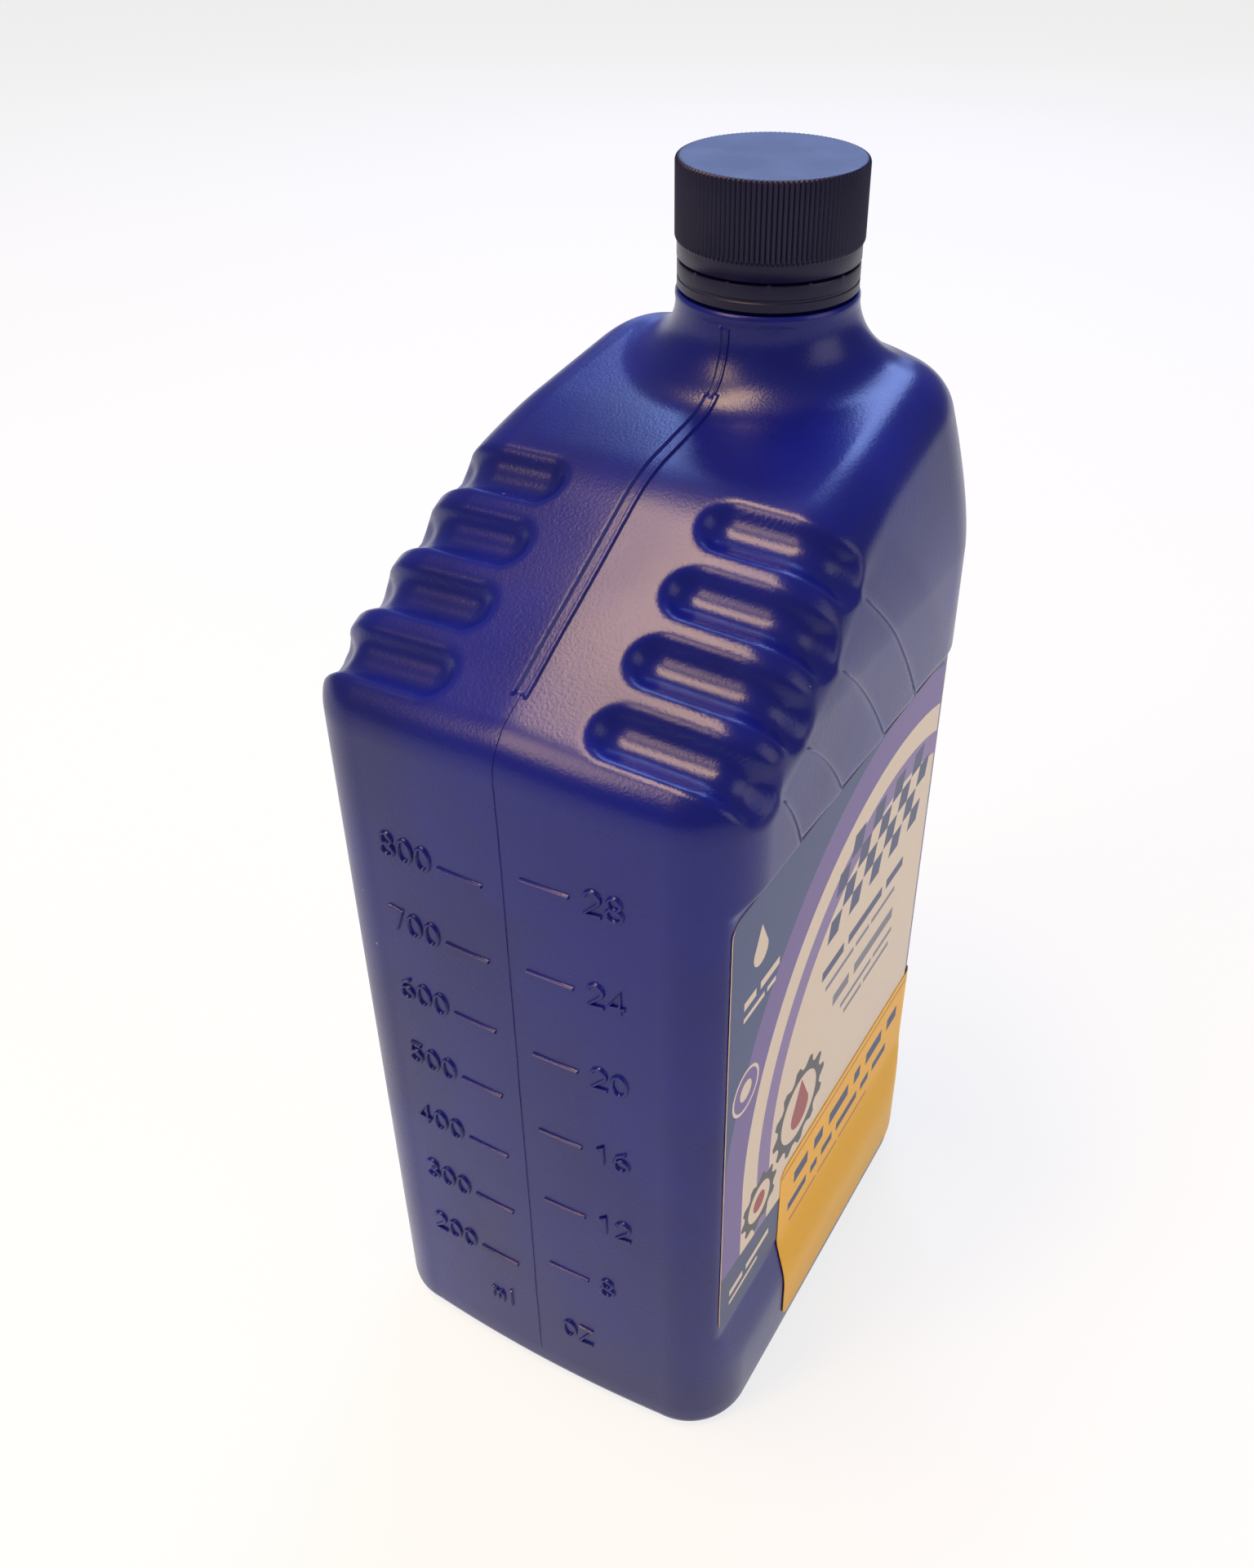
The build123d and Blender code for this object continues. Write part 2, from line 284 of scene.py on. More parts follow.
def grain(tree, shader, place, size, height, strength):
    """Adds a fine moulded grain: its size and height are real lengths."""
    noise = add_node(
        tree,
        "ShaderNodeTexNoise",
        values={"Scale": 1 / size, "Detail": 2.0, "Roughness": 0.6},
        links={"Vector": place},
    )
    bump = add_node(
        tree,
        "ShaderNodeBump",
        values={"Strength": strength, "Distance": height},
        links={"Height": noise.outputs["Fac"]},
    )
    tree.links.new(bump.outputs["Normal"], shader.inputs["Normal"])


def vary_roughness(tree, shader, place, low, high, patch):
    """Lets the roughness drift between two values, as handling leaves it."""
    noise = add_node(
        tree, "ShaderNodeTexNoise", values={"Scale": 1 / patch, "Detail": 4.0}, links={"Vector": place}
    )
    span = add_node(
        tree,
        "ShaderNodeMapRange",
        values={"From Min": 0.3, "From Max": 0.7, "To Min": low, "To Max": high},
        links={"Value": noise.outputs["Fac"]},
    )
    tree.links.new(span.outputs["Result"], shader.inputs["Roughness"])


def dust(tree, shader, place, ground, cell, share, tint):
    """Scatters pale specks, one in a few cells, over the base colour."""
    speck_reach, speck_cover = 0.045, 0.45
    cells = add_node(tree, "ShaderNodeTexVoronoi", values={"Scale": 1 / cell}, links={"Vector": place})
    near = add_node(
        tree,
        "ShaderNodeMath",
        {"operation": "LESS_THAN"},
        {1: speck_reach},
        {0: cells.outputs["Distance"]},
    )
    few = add_node(tree, "ShaderNodeSeparateColor", links={"Color": cells.outputs["Color"]})
    chosen = add_node(
        tree, "ShaderNodeMath", {"operation": "LESS_THAN"}, {1: share}, {0: few.outputs["Red"]}
    )
    speck = add_node(
        tree,
        "ShaderNodeMath",
        {"operation": "MULTIPLY"},
        links={0: near.outputs[0], 1: chosen.outputs[0]},
    )
    soft = add_node(
        tree, "ShaderNodeMath", {"operation": "MULTIPLY"}, {1: speck_cover}, {0: speck.outputs[0]}
    )
    mix = add_node(tree, "ShaderNodeMix", {"data_type": "RGBA"}, links={0: soft.outputs[0], 6: ground})
    mix.inputs[7].default_value = (*tint, 1)
    tree.links.new(mix.outputs[2], shader.inputs["Base Color"])


def blow_moulded_hdpe(colours):
    """Pigmented HDPE from a grit-blasted mould: a satin skin with a fine grain and a few specks of dust."""
    # A blasted mould's grain is usually finer than this; it is drawn coarser so that it shows
    grit, grit_height = 0.5 * MM, 0.04 * MM
    patch, handling = 34 * MM, 22 * MM
    speck_cell, speck_share = 5 * MM, 0.09
    material, tree, shader, place = new_material("HDPE, blow-moulded", colours.shell, 0.4, 1.54)
    ground = mottle(tree, shader, place, colours.shell_deep, colours.shell, patch)
    dust(tree, shader, place, ground, speck_cell, speck_share, linear("b9bac8"))
    shader.inputs["Specular IOR Level"].default_value = 0.32
    vary_roughness(tree, shader, place, 0.24, 0.31, handling)
    grain(tree, shader, place, grit, grit_height, 0.8)
    return material


def moulded_polypropylene(colours):
    """Injection-moulded polypropylene: harder and a little glossier than the shell, almost without grain."""
    material, tree, shader, place = new_material("Polypropylene, moulded", colours.cap, 0.36, 1.49)
    grain(tree, shader, place, 0.35 * MM, 0.02 * MM, 0.4)
    vary_roughness(tree, shader, place, 0.33, 0.42, 8 * MM)
    return material


def pressed_foam(colours):
    """Pressed polyethylene foam: matt, with fine closed cells."""
    material, tree, shader, place = new_material("Polyethylene foam", colours.liner, 0.8, 1.5)
    grain(tree, shader, place, 0.5 * MM, 0.06 * MM, 0.6)
    return material


def printed_film(name, base, roughness=0.34):
    """One ink on coated label film: an even colour under a thin, slightly rippled varnish."""
    material, tree, shader, place = new_material(f"Printed film, {name}", base, roughness, 1.5)
    grain(tree, shader, place, 6 * MM, 0.05 * MM, 0.35)
    return material


def printed_paper(name, base):
    """One ink on glossy sticker paper: bright, with the paper's soft cockle."""
    material, tree, shader, place = new_material(f"Sticker paper, {name}", base, 0.4, 1.5)
    grain(tree, shader, place, 9 * MM, 0.25 * MM, 0.5)
    return material


def studio_floor_paint(colours):
    """Matt white paint on the studio floor; what the lens and reflections see of it is close to white."""
    material, tree, shader, place = new_material("Matt paint", colours.floor, 0.9, 1.45)
    mottle(tree, shader, place, linear("f1f1f1"), colours.floor, 0.6)
    rays = add_node(tree, "ShaderNodeLightPath")
    seen = add_node(
        tree,
        "ShaderNodeMath",
        {"operation": "MAXIMUM"},
        links={0: rays.outputs["Is Camera Ray"], 1: rays.outputs["Is Glossy Ray"]},
    )
    seen = add_node(
        tree,
        "ShaderNodeMath",
        {"operation": "MAXIMUM"},
        links={0: seen.outputs[0], 1: rays.outputs["Is Transmission Ray"]},
    )
    white_share = 0.8
    share = add_node(
        tree, "ShaderNodeMath", {"operation": "MULTIPLY"}, {1: white_share}, {0: seen.outputs[0]}
    )
    white = add_node(tree, "ShaderNodeEmission", values={"Color": (1, 1, 1, 1), "Strength": 1.0})
    mixed = add_node(
        tree,
        "ShaderNodeMixShader",
        links={0: share.outputs[0], 1: shader.outputs["BSDF"], 2: white.outputs["Emission"]},
    )
    tree.links.new(mixed.outputs["Shader"], tree.nodes["Material Output"].inputs["Surface"])
    return material


# Mesh helpers


def grid_faces(rings, columns):
    """Quads between rings of a closed grid, ring after ring; the last column joins the first."""
    ring, column = np.meshgrid(np.arange(rings - 1), np.arange(columns), indexing="ij")
    after = (column + 1) % columns
    low, high = ring * columns, (ring + 1) * columns
    quads = np.stack([low + column, low + after, high + after, high + column], -1)
    return quads.reshape(-1, 4).tolist()


def fan_faces(first, columns, centre, flip):
    """Triangles from a centre to one ring."""
    faces = []
    for column in range(columns):
        after = (column + 1) % columns
        edge = (first + column, first + after)
        faces.append((centre, edge[0], edge[1]) if not flip else (centre, edge[1], edge[0]))
    return faces


def join_faces(first, second, columns):
    """Quads that close the gap between two rings."""
    faces = []
    for column in range(columns):
        after = (column + 1) % columns
        faces.append((first + column, first + after, second + after, second + column))
    return faces


def even_turns(count):
    """Angles evenly round a whole turn."""
    return np.arange(count) * 2 * pi / count


def ribbon(half, height, top_share):
    """A low ridge's section, as (offset, height) pairs, with its edges under the skin."""
    return [(-half, -0.2 * MM), (-half * top_share, height), (half * top_share, height), (half, -0.2 * MM)]


def make_piece(name, points, faces, materials, body, nodes, marks=None, sharp=38):
    """Makes one object of a mesh, gives it its materials, ties it to its body and hides its CAD nodes."""
    mesh = bpy.data.meshes.new(name)
    mesh.from_pydata([tuple(p) for p in points], [], faces)
    for material in materials:
        mesh.materials.append(material)
    if marks is not None:
        mesh.polygons.foreach_set("material_index", marks)
    mesh.polygons.foreach_set("use_smooth", [True] * len(mesh.polygons))
    mesh.set_sharp_from_angle(angle=radians(sharp))
    if mesh.validate():
        raise RuntimeError(f"{name} has broken faces")
    mesh.update()
    piece = bpy.data.objects.new(name, mesh)
    bpy.context.scene.collection.objects.link(piece)
    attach(piece, body)
    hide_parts(*nodes)
    return piece


def lathe(profile, angles, axis_x):
    """Rings about an upright axis: the profile's radii may be numbers or one value for each angle."""
    rings = []
    for radius, height in profile:
        radius = np.broadcast_to(radius, angles.shape)
        height = np.broadcast_to(height, angles.shape)
        rings.append(np.stack([axis_x + radius * np.cos(angles), radius * np.sin(angles), height], -1))
    return rings


def thread_bump(angles, height, low, high, sizes, shift):
    """The height of a right-handed thread's ridge on one ring, faded in and out at its ends."""
    turns = (height - low - shift) / sizes.thread_pitch - angles / (2 * pi)
    off = (turns - np.round(turns)) * sizes.thread_pitch
    ridge = np.clip(1.5 - 2 * np.abs(off) / sizes.thread_width, 0, 1)
    along = np.round(turns) * sizes.thread_pitch + sizes.thread_pitch * angles / (2 * pi)
    fade_run = 0.8 * MM
    fade = np.clip(along / fade_run, 0, 1) * np.clip((high - low - along) / fade_run, 0, 1)
    return sizes.thread_depth * ridge * fade


# The shell's form as a distance field


def smooth_max(a, b, width):
    """The larger of two distances, rounded where they meet."""
    near = np.maximum(width - np.abs(a - b), 0)
    return np.maximum(a, b) + near * near / (4 * width)


def smooth_step(value):
    """Eases from 0 to 1."""
    value = np.clip(value, 0, 1)
    return value * value * (3 - 2 * value)


class ShellForm:
    """The outer form of the shell: distances are negative inside it."""

    def __init__(self, sizes):
        self.s = sizes
        foot_x = sizes.grip_foot_in - HALF_WIDTH
        bend_x = foot_x + sizes.grip_run
        bend_z = sizes.grip_foot_z + sizes.grip_run * tan(sizes.grip_slope)
        crown_x = NECK_X + sizes.crown_past_neck
        crown_z = bend_z + (crown_x - bend_x) * tan(sizes.shoulder_slope)
        self.lines = [
            (foot_x, sizes.grip_foot_z, sizes.grip_slope),
            (bend_x, bend_z, sizes.shoulder_slope),
            (crown_x, crown_z, -sizes.far_fall),
        ]
        self.foot = (foot_x, sizes.grip_foot_z)

    def plan(self, x, y):
        """Distance from the footprint's outline."""
        s = self.s
        y = np.abs(y)
        straight = HALF_DEPTH - s.near_corner
        bow = s.face_bow * np.clip(1 - (y / straight) ** 2, 0, 1)
        near = x < 0
        radius = np.where(near, s.near_corner, s.far_corner)
        along = np.where(near, -x - bow - (HALF_WIDTH - s.face_bow), x - HALF_WIDTH) + radius
        across = y - HALF_DEPTH + radius
        outside = np.hypot(np.maximum(along, 0), np.maximum(across, 0))
        return outside + np.minimum(np.maximum(along, across), 0) - radius

    def lean(self, z):
        """How far the sides lean in at a height."""
        rise = np.clip((z - self.s.lean_low_z) / self.s.lean_height, 0, 1.15)
        return self.s.lean * rise**1.47

    def top(self, x, y, z):
        """Distance from the grip slope, the shoulder and the far fall, with the neck blended in."""
        s = self.s
        ridge, roof_end, roof_fade = 1.5 * MM, 8 * MM, 30 * MM
        bend_round, crown_round = 1.94 * MM, 1.36 * MM
        tilt = tan(s.roof) * (np.sqrt(y * y + ridge**2) - ridge)
        roof = tilt * smooth_step((roof_end - x) / roof_fade)
        away = [(z + roof - pz) * cos(turn) - (x - px) * sin(turn) for px, pz, turn in self.lines]
        both = smooth_max(smooth_max(away[0], away[1], bend_round), away[2], crown_round)
        neck = np.hypot(x - NECK_X, y) - s.neck_radius
        radius = s.neck_root
        inner = np.hypot(np.maximum(radius - both, 0), np.maximum(radius - neck, 0))
        return np.maximum(radius, np.minimum(both, neck)) - inner

    def plain(self, p):
        """Distance from the shell without its grooves and panels."""
        x, y, z = p[..., 0], p[..., 1], p[..., 2]
        step = 0.01 * MM
        lean = self.lean(z)
        side = np.sign(y) * lean
        plan = self.plan(x, y + side)
        top = self.top(x, y, z)
        plan_x = (self.plan(x + step, y + side) - plan) / step
        plan_y = (self.plan(x, y + side + step) - plan) / step
        top_x = (self.top(x + step, y, z) - top) / step
        top_y = (self.top(x, y + step, z) - top) / step
        share = np.clip(plan_x * top_x + plan_y * top_y, -0.9, 0.9)
        past_grip = smooth_step((x + 20 * MM) / (30 * MM))
        radius = self.s.grip_edge + (self.s.shoulder_edge - self.s.grip_edge) * past_grip
        a, b = plan + radius, top + radius
        rest = 1 - share * share
        corner = np.sqrt(np.maximum(a * a + b * b - 2 * a * b * share, 0) / rest)
        in_corner = (a - b * share > 0) & (b - a * share > 0)
        return np.where(in_corner, corner, np.maximum(a, b)) - radius

    def crease_lines(self):
        """The creases in the XZ plane, from the label panel up to the grooves: foot and head of each."""
        # Along X at the panel's head, then the X and Z of each crease's head under its groove
        low_z = self.s.panel_high_z + 1 * MM
        feet = (-27.5 * MM, -12.6 * MM, 3.7 * MM, 17 * MM)
        heads = ((-42 * MM, 147 * MM), (-35 * MM, 150 * MM), (-25 * MM, 158 * MM), (-15 * MM, 165 * MM))
        return [((foot, low_z), head) for foot, head in zip(feet, heads)]

    def crease(self, x, y, z):
        """How far the creases set the shoulder's sides in."""
        s = self.s
        width = 11 * MM
        inset = np.zeros_like(x)
        for (low_x, low_z), (high_x, high_z) in self.crease_lines():
            run, rise = high_x - low_x, high_z - low_z
            size = sqrt(run * run + rise * rise)
            along = np.clip(((x - low_x) * run + (z - low_z) * rise) / (size * size), 0, 1)
            bend = s.crease_bow * 4 * along * (1 - along)
            off = ((x - low_x) * rise - (z - low_z) * run) / size - bend
            step = smooth_step((off + 0.9 * MM) / (1.8 * MM)) * np.clip(1 - off / width, 0, 1)
            inset = np.maximum(inset, step)
        above = smooth_step((z - s.panel_high_z + 1 * MM) / (3 * MM))
        below = smooth_step((self.top(x, y, z) + 4 * MM) / (-6 * MM))
        side = smooth_step((np.abs(y) - 24 * MM) / (8 * MM))
        return s.crease_depth * inset * above * below * side

    def full(self, p):
        """Distance from the shell with its grooves, panels and creases."""
        s = self.s
        x, y, z = p[..., 0], p[..., 1], p[..., 2]
        plain = self.plain(p)
        low = (z - (s.panel_low_z - s.heel_run)) / s.heel_run
        high = (s.panel_high_z + s.panel_top_run - z) / s.panel_top_run
        sink = s.panel_sink * np.clip(np.minimum(low, high), -2, 1)
        form = smooth_max(plain, np.abs(y) - HALF_DEPTH + sink, 0.7 * MM)
        past = np.minimum(np.abs(y) - s.groove_inner - s.groove_radius, 0)
        along = (x - self.foot[0]) * cos(s.grip_slope) + (z - self.foot[1]) * sin(s.grip_slope)
        round_edge = smooth_step((self.top(x, y, z) + s.groove_end) / (0.45 * s.groove_end))
        lift = s.groove_radius - s.groove_sink * round_edge
        for index in range(s.grooves):
            off = along - s.groove_first - index * s.groove_pitch
            rod = np.sqrt(off**2 + (plain - lift) ** 2 + past**2) - s.groove_radius
            form = smooth_max(form, -rod, 1.1 * MM * round_edge + 0.02 * MM)
        return form + self.crease(x, y, z)

    def slope_of(self, field, p):
        """The unit outward direction of a field at points."""
        step = 0.02 * MM
        parts = []
        for axis in range(3):
            shift = np.zeros(3)
            shift[axis] = step
            parts.append(field(p + shift) - field(p - shift))
        normal = np.stack(parts, -1)
        return normal / np.maximum(np.linalg.norm(normal, axis=-1, keepdims=True), 1e-12)

    def sink_to(self, p, normal, inset):
        """Moves points inwards along their normals until they lie that far inside the full form."""
        p = p.copy()
        rounds, share = 26, 0.9
        for _ in range(rounds):
            off = self.full(p) + inset
            p -= normal * (off * share)[..., None]
        return p


def half_outline(form, count):
    """Points of the footprint's outline from the far face round to the scale face, denser by the grip."""
    turns = np.linspace(0, pi, 6000)
    reach = np.full_like(turns, 60 * MM)
    for _ in range(60):
        x, y = reach * np.cos(turns), reach * np.sin(turns)
        reach -= form.plan(x, y) * 0.8
    x, y = reach * np.cos(turns), reach * np.sin(turns)
    y[0] = y[-1] = 0
    grip_end, grip_gap, far_gap = 12 * MM, 0.62, 1.25
    dense = np.where(x < grip_end, 1 / grip_gap, 1 / far_gap)
    steps = np.hypot(np.diff(x), np.diff(y)) * (dense[1:] + dense[:-1]) / 2
    run = np.concatenate([[0], np.cumsum(steps)])
    at = np.linspace(0, run[-1], count + 1)
    return np.stack([np.interp(at, run, x), np.interp(at, run, y)], -1)


def whole_turn(half):
    """Mirrors the points of one half across the parting plane into a closed turn."""
    other = half[-2:0:-1] * np.array([1, -1])
    return np.concatenate([half, other])


def shoulder_rings(form, outline, targets, low_z, high_z, count):
    """Follows the plain form up from the side wall, in the upright plane of each column, to the neck."""
    inward = targets - outline
    inward /= np.linalg.norm(inward, axis=1, keepdims=True)
    step, most_steps = 0.35 * MM, 460
    run, z = np.zeros(len(outline)), np.full(len(outline), low_z)

    def place(run, z):
        flat = outline + inward * run[:, None]
        return np.concatenate([flat, z[:, None]], 1)

    def field(run, z):
        return form.plain(place(run, z))

    paths = [place(run, z)]
    tiny = 0.01 * MM
    for _ in range(most_steps):
        slope = np.stack(
            [field(run + tiny, z) - field(run - tiny, z), field(run, z + tiny) - field(run, z - tiny)], -1
        ) / (2 * tiny)
        size = np.maximum(np.linalg.norm(slope, axis=1), 1e-9)
        active = z < high_z
        run = run + np.where(active, slope[:, 1] / size * step, 0)
        z = z + np.where(active, -slope[:, 0] / size * step, 0)
        for _ in range(2):
            off = field(run, z) / size
            run = run - np.where(active, off * slope[:, 0] / size, 0)
            z = z - np.where(active, off * slope[:, 1] / size, 0)
        paths.append(place(run, z))
    paths = np.stack(paths)
    rings = np.empty((count + 1, len(outline), 3))
    for column in range(len(outline)):
        path = paths[:, column]
        last = int(np.argmax(path[:, 2] >= high_z))
        if last == 0:
            raise RuntimeError("a column of the shell didn't reach the neck")
        path = path[: last + 1]
        gaps = np.linalg.norm(np.diff(path, axis=0), axis=1)
        along = np.concatenate([[0], np.cumsum(gaps)])
        at = np.linspace(0, along[-1], count + 1)
        for axis in range(3):
            rings[:, column, axis] = np.interp(at, along, path[:, axis])
    rings[-1, :, 2] = high_z
    return rings


# Raised scale and parting line


def arc(cx, cy, rx, ry, start, end, count=9):
    """Points of an arc in a figure's own square, from one angle in degrees to another."""
    turns = np.radians(np.linspace(start, end, count))
    return [(cx + rx * cos(t), cy + ry * sin(t)) for t in turns]


def figure(character):
    """The strokes of a figure or a unit's letter, in a square from 0 to 1."""
    return {
        "0": [arc(0.5, 0.5, 0.5, 0.5, 90, 450, 17)],
        "1": [[(0.25, 0.8), (0.55, 1), (0.55, 0)]],
        "2": [arc(0.5, 0.7, 0.48, 0.3, 165, -35) + [(0.02, 0), (1, 0)]],
        "3": [arc(0.46, 0.75, 0.44, 0.25, 150, -90), arc(0.5, 0.26, 0.5, 0.26, 90, -150)],
        "4": [[(0.98, 0.28), (0, 0.28), (0.72, 1), (0.72, 0)]],
        "5": [[(0.92, 1), (0.18, 1), (0.1, 0.56)] + arc(0.48, 0.32, 0.48, 0.31, 125, -150)],
        "6": [arc(0.5, 0.29, 0.5, 0.29, 0, 360, 15), [(0.02, 0.36), (0.2, 0.74), (0.75, 1)]],
        "7": [[(0, 1), (1, 1), (0.38, 0)]],
        "8": [arc(0.5, 0.75, 0.4, 0.25, -90, 270, 15), arc(0.5, 0.26, 0.5, 0.26, 90, 450, 15)],
        "m": [[(0.02, 0), (0.02, 0.62)], arc(0.26, 0.4, 0.24, 0.22, 180, 0) + [(0.5, 0)],
              arc(0.74, 0.4, 0.24, 0.22, 180, 0) + [(0.98, 0)]],
        "l": [[(0.3, 1), (0.3, 0)]],
        "O": [arc(0.5, 0.5, 0.5, 0.5, 90, 450, 17)],
        "Z": [[(0, 1), (1, 1), (0, 0), (1, 0)]],
    }[character]


class Relief:
    """Collects raised strokes that are joined to the shell's mesh."""

    def __init__(self):
        self.points, self.faces = [], []

    def sweep(self, path, across, up, profile):
        """Sweeps a profile of (offset, height) pairs along a path and closes both ends under the skin."""
        first, count = len(self.points), len(profile)
        ends = (0, len(path) - 1)
        for index, (point, side, normal) in enumerate(zip(path, across, up)):
            for offset, height in profile:
                rise = -SKIN_UNDER if index in ends else height
                self.points.append(point + side * offset + normal * rise)
        for index in range(len(path) - 1):
            for part in range(count - 1):
                a = first + index * count + part
                self.faces.append((a, a + 1, a + count + 1, a + count))

    def stroke(self, line, width, height, skin):
        """Raises one stroke, given in the scale face's own (right, up) lengths."""
        line = [np.array(p, float) for p in line]
        lead = (line[1] - line[0]) / np.linalg.norm(line[1] - line[0]) * width * 0.45
        tail = (line[-1] - line[-2]) / np.linalg.norm(line[-1] - line[-2]) * width * 0.45
        line = [line[0] - lead, line[0] - lead * 0.4] + line[1:-1] + [line[-1] + tail * 0.4, line[-1] + tail]
        path, across, up = [], [], []
        for index, point in enumerate(line):
            before, after = line[max(index - 1, 0)], line[min(index + 1, len(line) - 1)]
            run = (after - before) / max(np.linalg.norm(after - before), 1e-9)
            place, right, normal = skin(point[0], point[1])
            path.append(place)
            across.append(right * run[1] - np.array([0, 0, 1.0]) * run[0])
            up.append(normal)
        half = width / 2
        side = [(1.15, -SKIN_UNDER), (0.8, height * 0.6), (0.35, height)]
        profile = [(-half * share, rise) for share, rise in side]
        profile += [(half * share, rise) for share, rise in reversed(side)]
        self.sweep(path, across, up, profile)


def scale_skin(form):
    """A function from (right, up) on the scale face to its place, rightward direction and normal."""
    s = form.s
    straight = HALF_DEPTH - s.near_corner

    def skin(right, height):
        y = -right
        bow = s.face_bow * max(1 - (y / straight) ** 2, 0)
        slope = 2 * s.face_bow * y / straight**2
        normal = np.array([-1, slope, 0]) / sqrt(1 + slope * slope)
        place = np.array([-(HALF_WIDTH - s.face_bow) - bow, y, height])
        return place, np.array([0, -1.0, 0]), normal

    return skin


def raise_text(relief, text, right, low, scale, skin):
    """Raises a word or a number whose left foot is at (right, low) on the scale face."""
    for index, character in enumerate(text):
        left = right + index * scale.digit_pitch
        for line in figure(character):
            line = [(left + u * scale.digit_width, low + v * scale.digit_height) for u, v in line]
            relief.stroke(line, scale.stroke, scale.relief, skin)


def raise_scale(relief, form, scale):
    """The millilitre marks left of the parting line and the fluid ounce marks right of it."""
    skin = scale_skin(form)
    for hundreds in range(2, 9):
        z = scale.zero_z + hundreds * scale.per_100_ml
        relief.stroke([(-scale.mark_out, z), (-scale.mark_in, z)], scale.stroke, scale.relief, skin)
        left = -scale.digit_in - 2 * scale.digit_pitch - scale.digit_width
        raise_text(relief, f"{hundreds}00", left, z - scale.digit_height * 0.4, scale, skin)
    for ounces in range(8, 29, 4):
        z = scale.zero_z + ounces * OUNCE * scale.per_100_ml
        relief.stroke([(scale.mark_in, z), (scale.mark_out, z)], scale.stroke, scale.relief, skin)
        raise_text(relief, str(ounces), scale.digit_in + 1 * MM, z - scale.digit_height * 0.4, scale, skin)
    raise_text(relief, "ml", -10.2 * MM, scale.unit_z, scale, skin)
    raise_text(relief, "OZ", 5.8 * MM, scale.unit_z, scale, skin)


def raise_seam(relief, path, normals, width, height, double, rag):
    """Raises the parting line along a path in the parting plane."""
    side = np.array([0, 1.0, 0])
    random = np.random.default_rng(7)
    wander = np.cumsum(random.normal(0, 1, len(path)))
    wander -= np.linspace(wander[0], wander[-1], len(path))
    wander = wander / max(np.abs(wander).max(), 1e-9) * rag
    moved = path + side * wander[:, None]
    half = width / 2
    if double:
        ridge = [(1.0, -0.3 * MM), (0.8, height), (0.58, height), (0.34, 0.04 * MM)]
        profile = [(-half * share, rise) for share, rise in ridge]
        profile += [(half * share, rise) for share, rise in reversed(ridge)]
    else:
        profile = ribbon(half, height, 0.35)
    relief.sweep(moved, [-side] * len(path), normals, profile)


def raise_creases(relief, form, scale):
    """Raises a thin line along each crease, on both sides of the shoulder."""
    for side in (-1, 1):
        for (low_x, low_z), (high_x, high_z) in form.crease_lines():
            along = np.linspace(0, 1, 26)
            run, rise = high_x - low_x, high_z - low_z
            size = sqrt(run * run + rise * rise)
            bend = form.s.crease_bow * 4 * along * (1 - along)
            x = low_x + run * along + bend * rise / size
            z = low_z + rise * along - bend * run / size
            path = np.stack([x, np.full_like(x, side * (HALF_DEPTH + 1 * MM)), z], -1)
            for _ in range(40):
                path[:, 1] -= side * form.full(path) * 0.8
            path = path[form.top(path[:, 0], path[:, 1], path[:, 2]) < -form.s.groove_end]
            up = form.slope_of(form.full, path)
            ahead = np.gradient(path, axis=0)
            across = np.cross(ahead, up)
            across /= np.linalg.norm(across, axis=1, keepdims=True)
            profile = ribbon(scale.flash_width * 0.7, scale.crease_height, 0.4)
            relief.sweep(path, -across, up, profile)


# Operators


def sizes_of(context):
    """The scene's size and colour groups."""
    return tuple(getattr(context.scene, name) for name in GROUPS)


def thread_span(shell):
    """The heights between which the thread runs."""
    return shell.ledge_z + 5.6 * MM, RIM_Z - 2 * MM


def neck_profile(shell, closure, angles):
    """The neck from just below its ledge, over the thread and the rim, down the bore."""
    ledge, fin = shell.ledge_z, shell.finish_radius
    bead = fin + shell.bead
    profile = [
        (shell.neck_radius + 0.1 * MM, ledge - 0.9 * MM),
        (shell.neck_radius + 0.05 * MM, ledge - 0.3 * MM),
        (shell.neck_radius - 0.2 * MM, ledge),
        (fin + 0.3 * MM, ledge),
        (fin, ledge + 0.3 * MM),
        (fin, ledge + 2.8 * MM),
        (bead, ledge + 3 * MM),
        (bead - 0.2 * MM, ledge + 3.4 * MM),
        (fin, ledge + 4.2 * MM),
    ]
    low, high = thread_span(shell)
    for z in np.arange(low - 0.6 * MM, RIM_Z - 0.9 * MM, 0.5 * MM):
        profile.append((fin + thread_bump(angles, z, low, high, closure, 0), z))
    profile += [(fin, RIM_Z - 0.5 * MM), (fin - 0.4 * MM, RIM_Z), (shell.bore + 0.4 * MM, RIM_Z)]
    profile += [(shell.bore, RIM_Z - 0.4 * MM), (shell.bore, ledge), (shell.bore, ledge - 1.2 * MM)]
    return profile


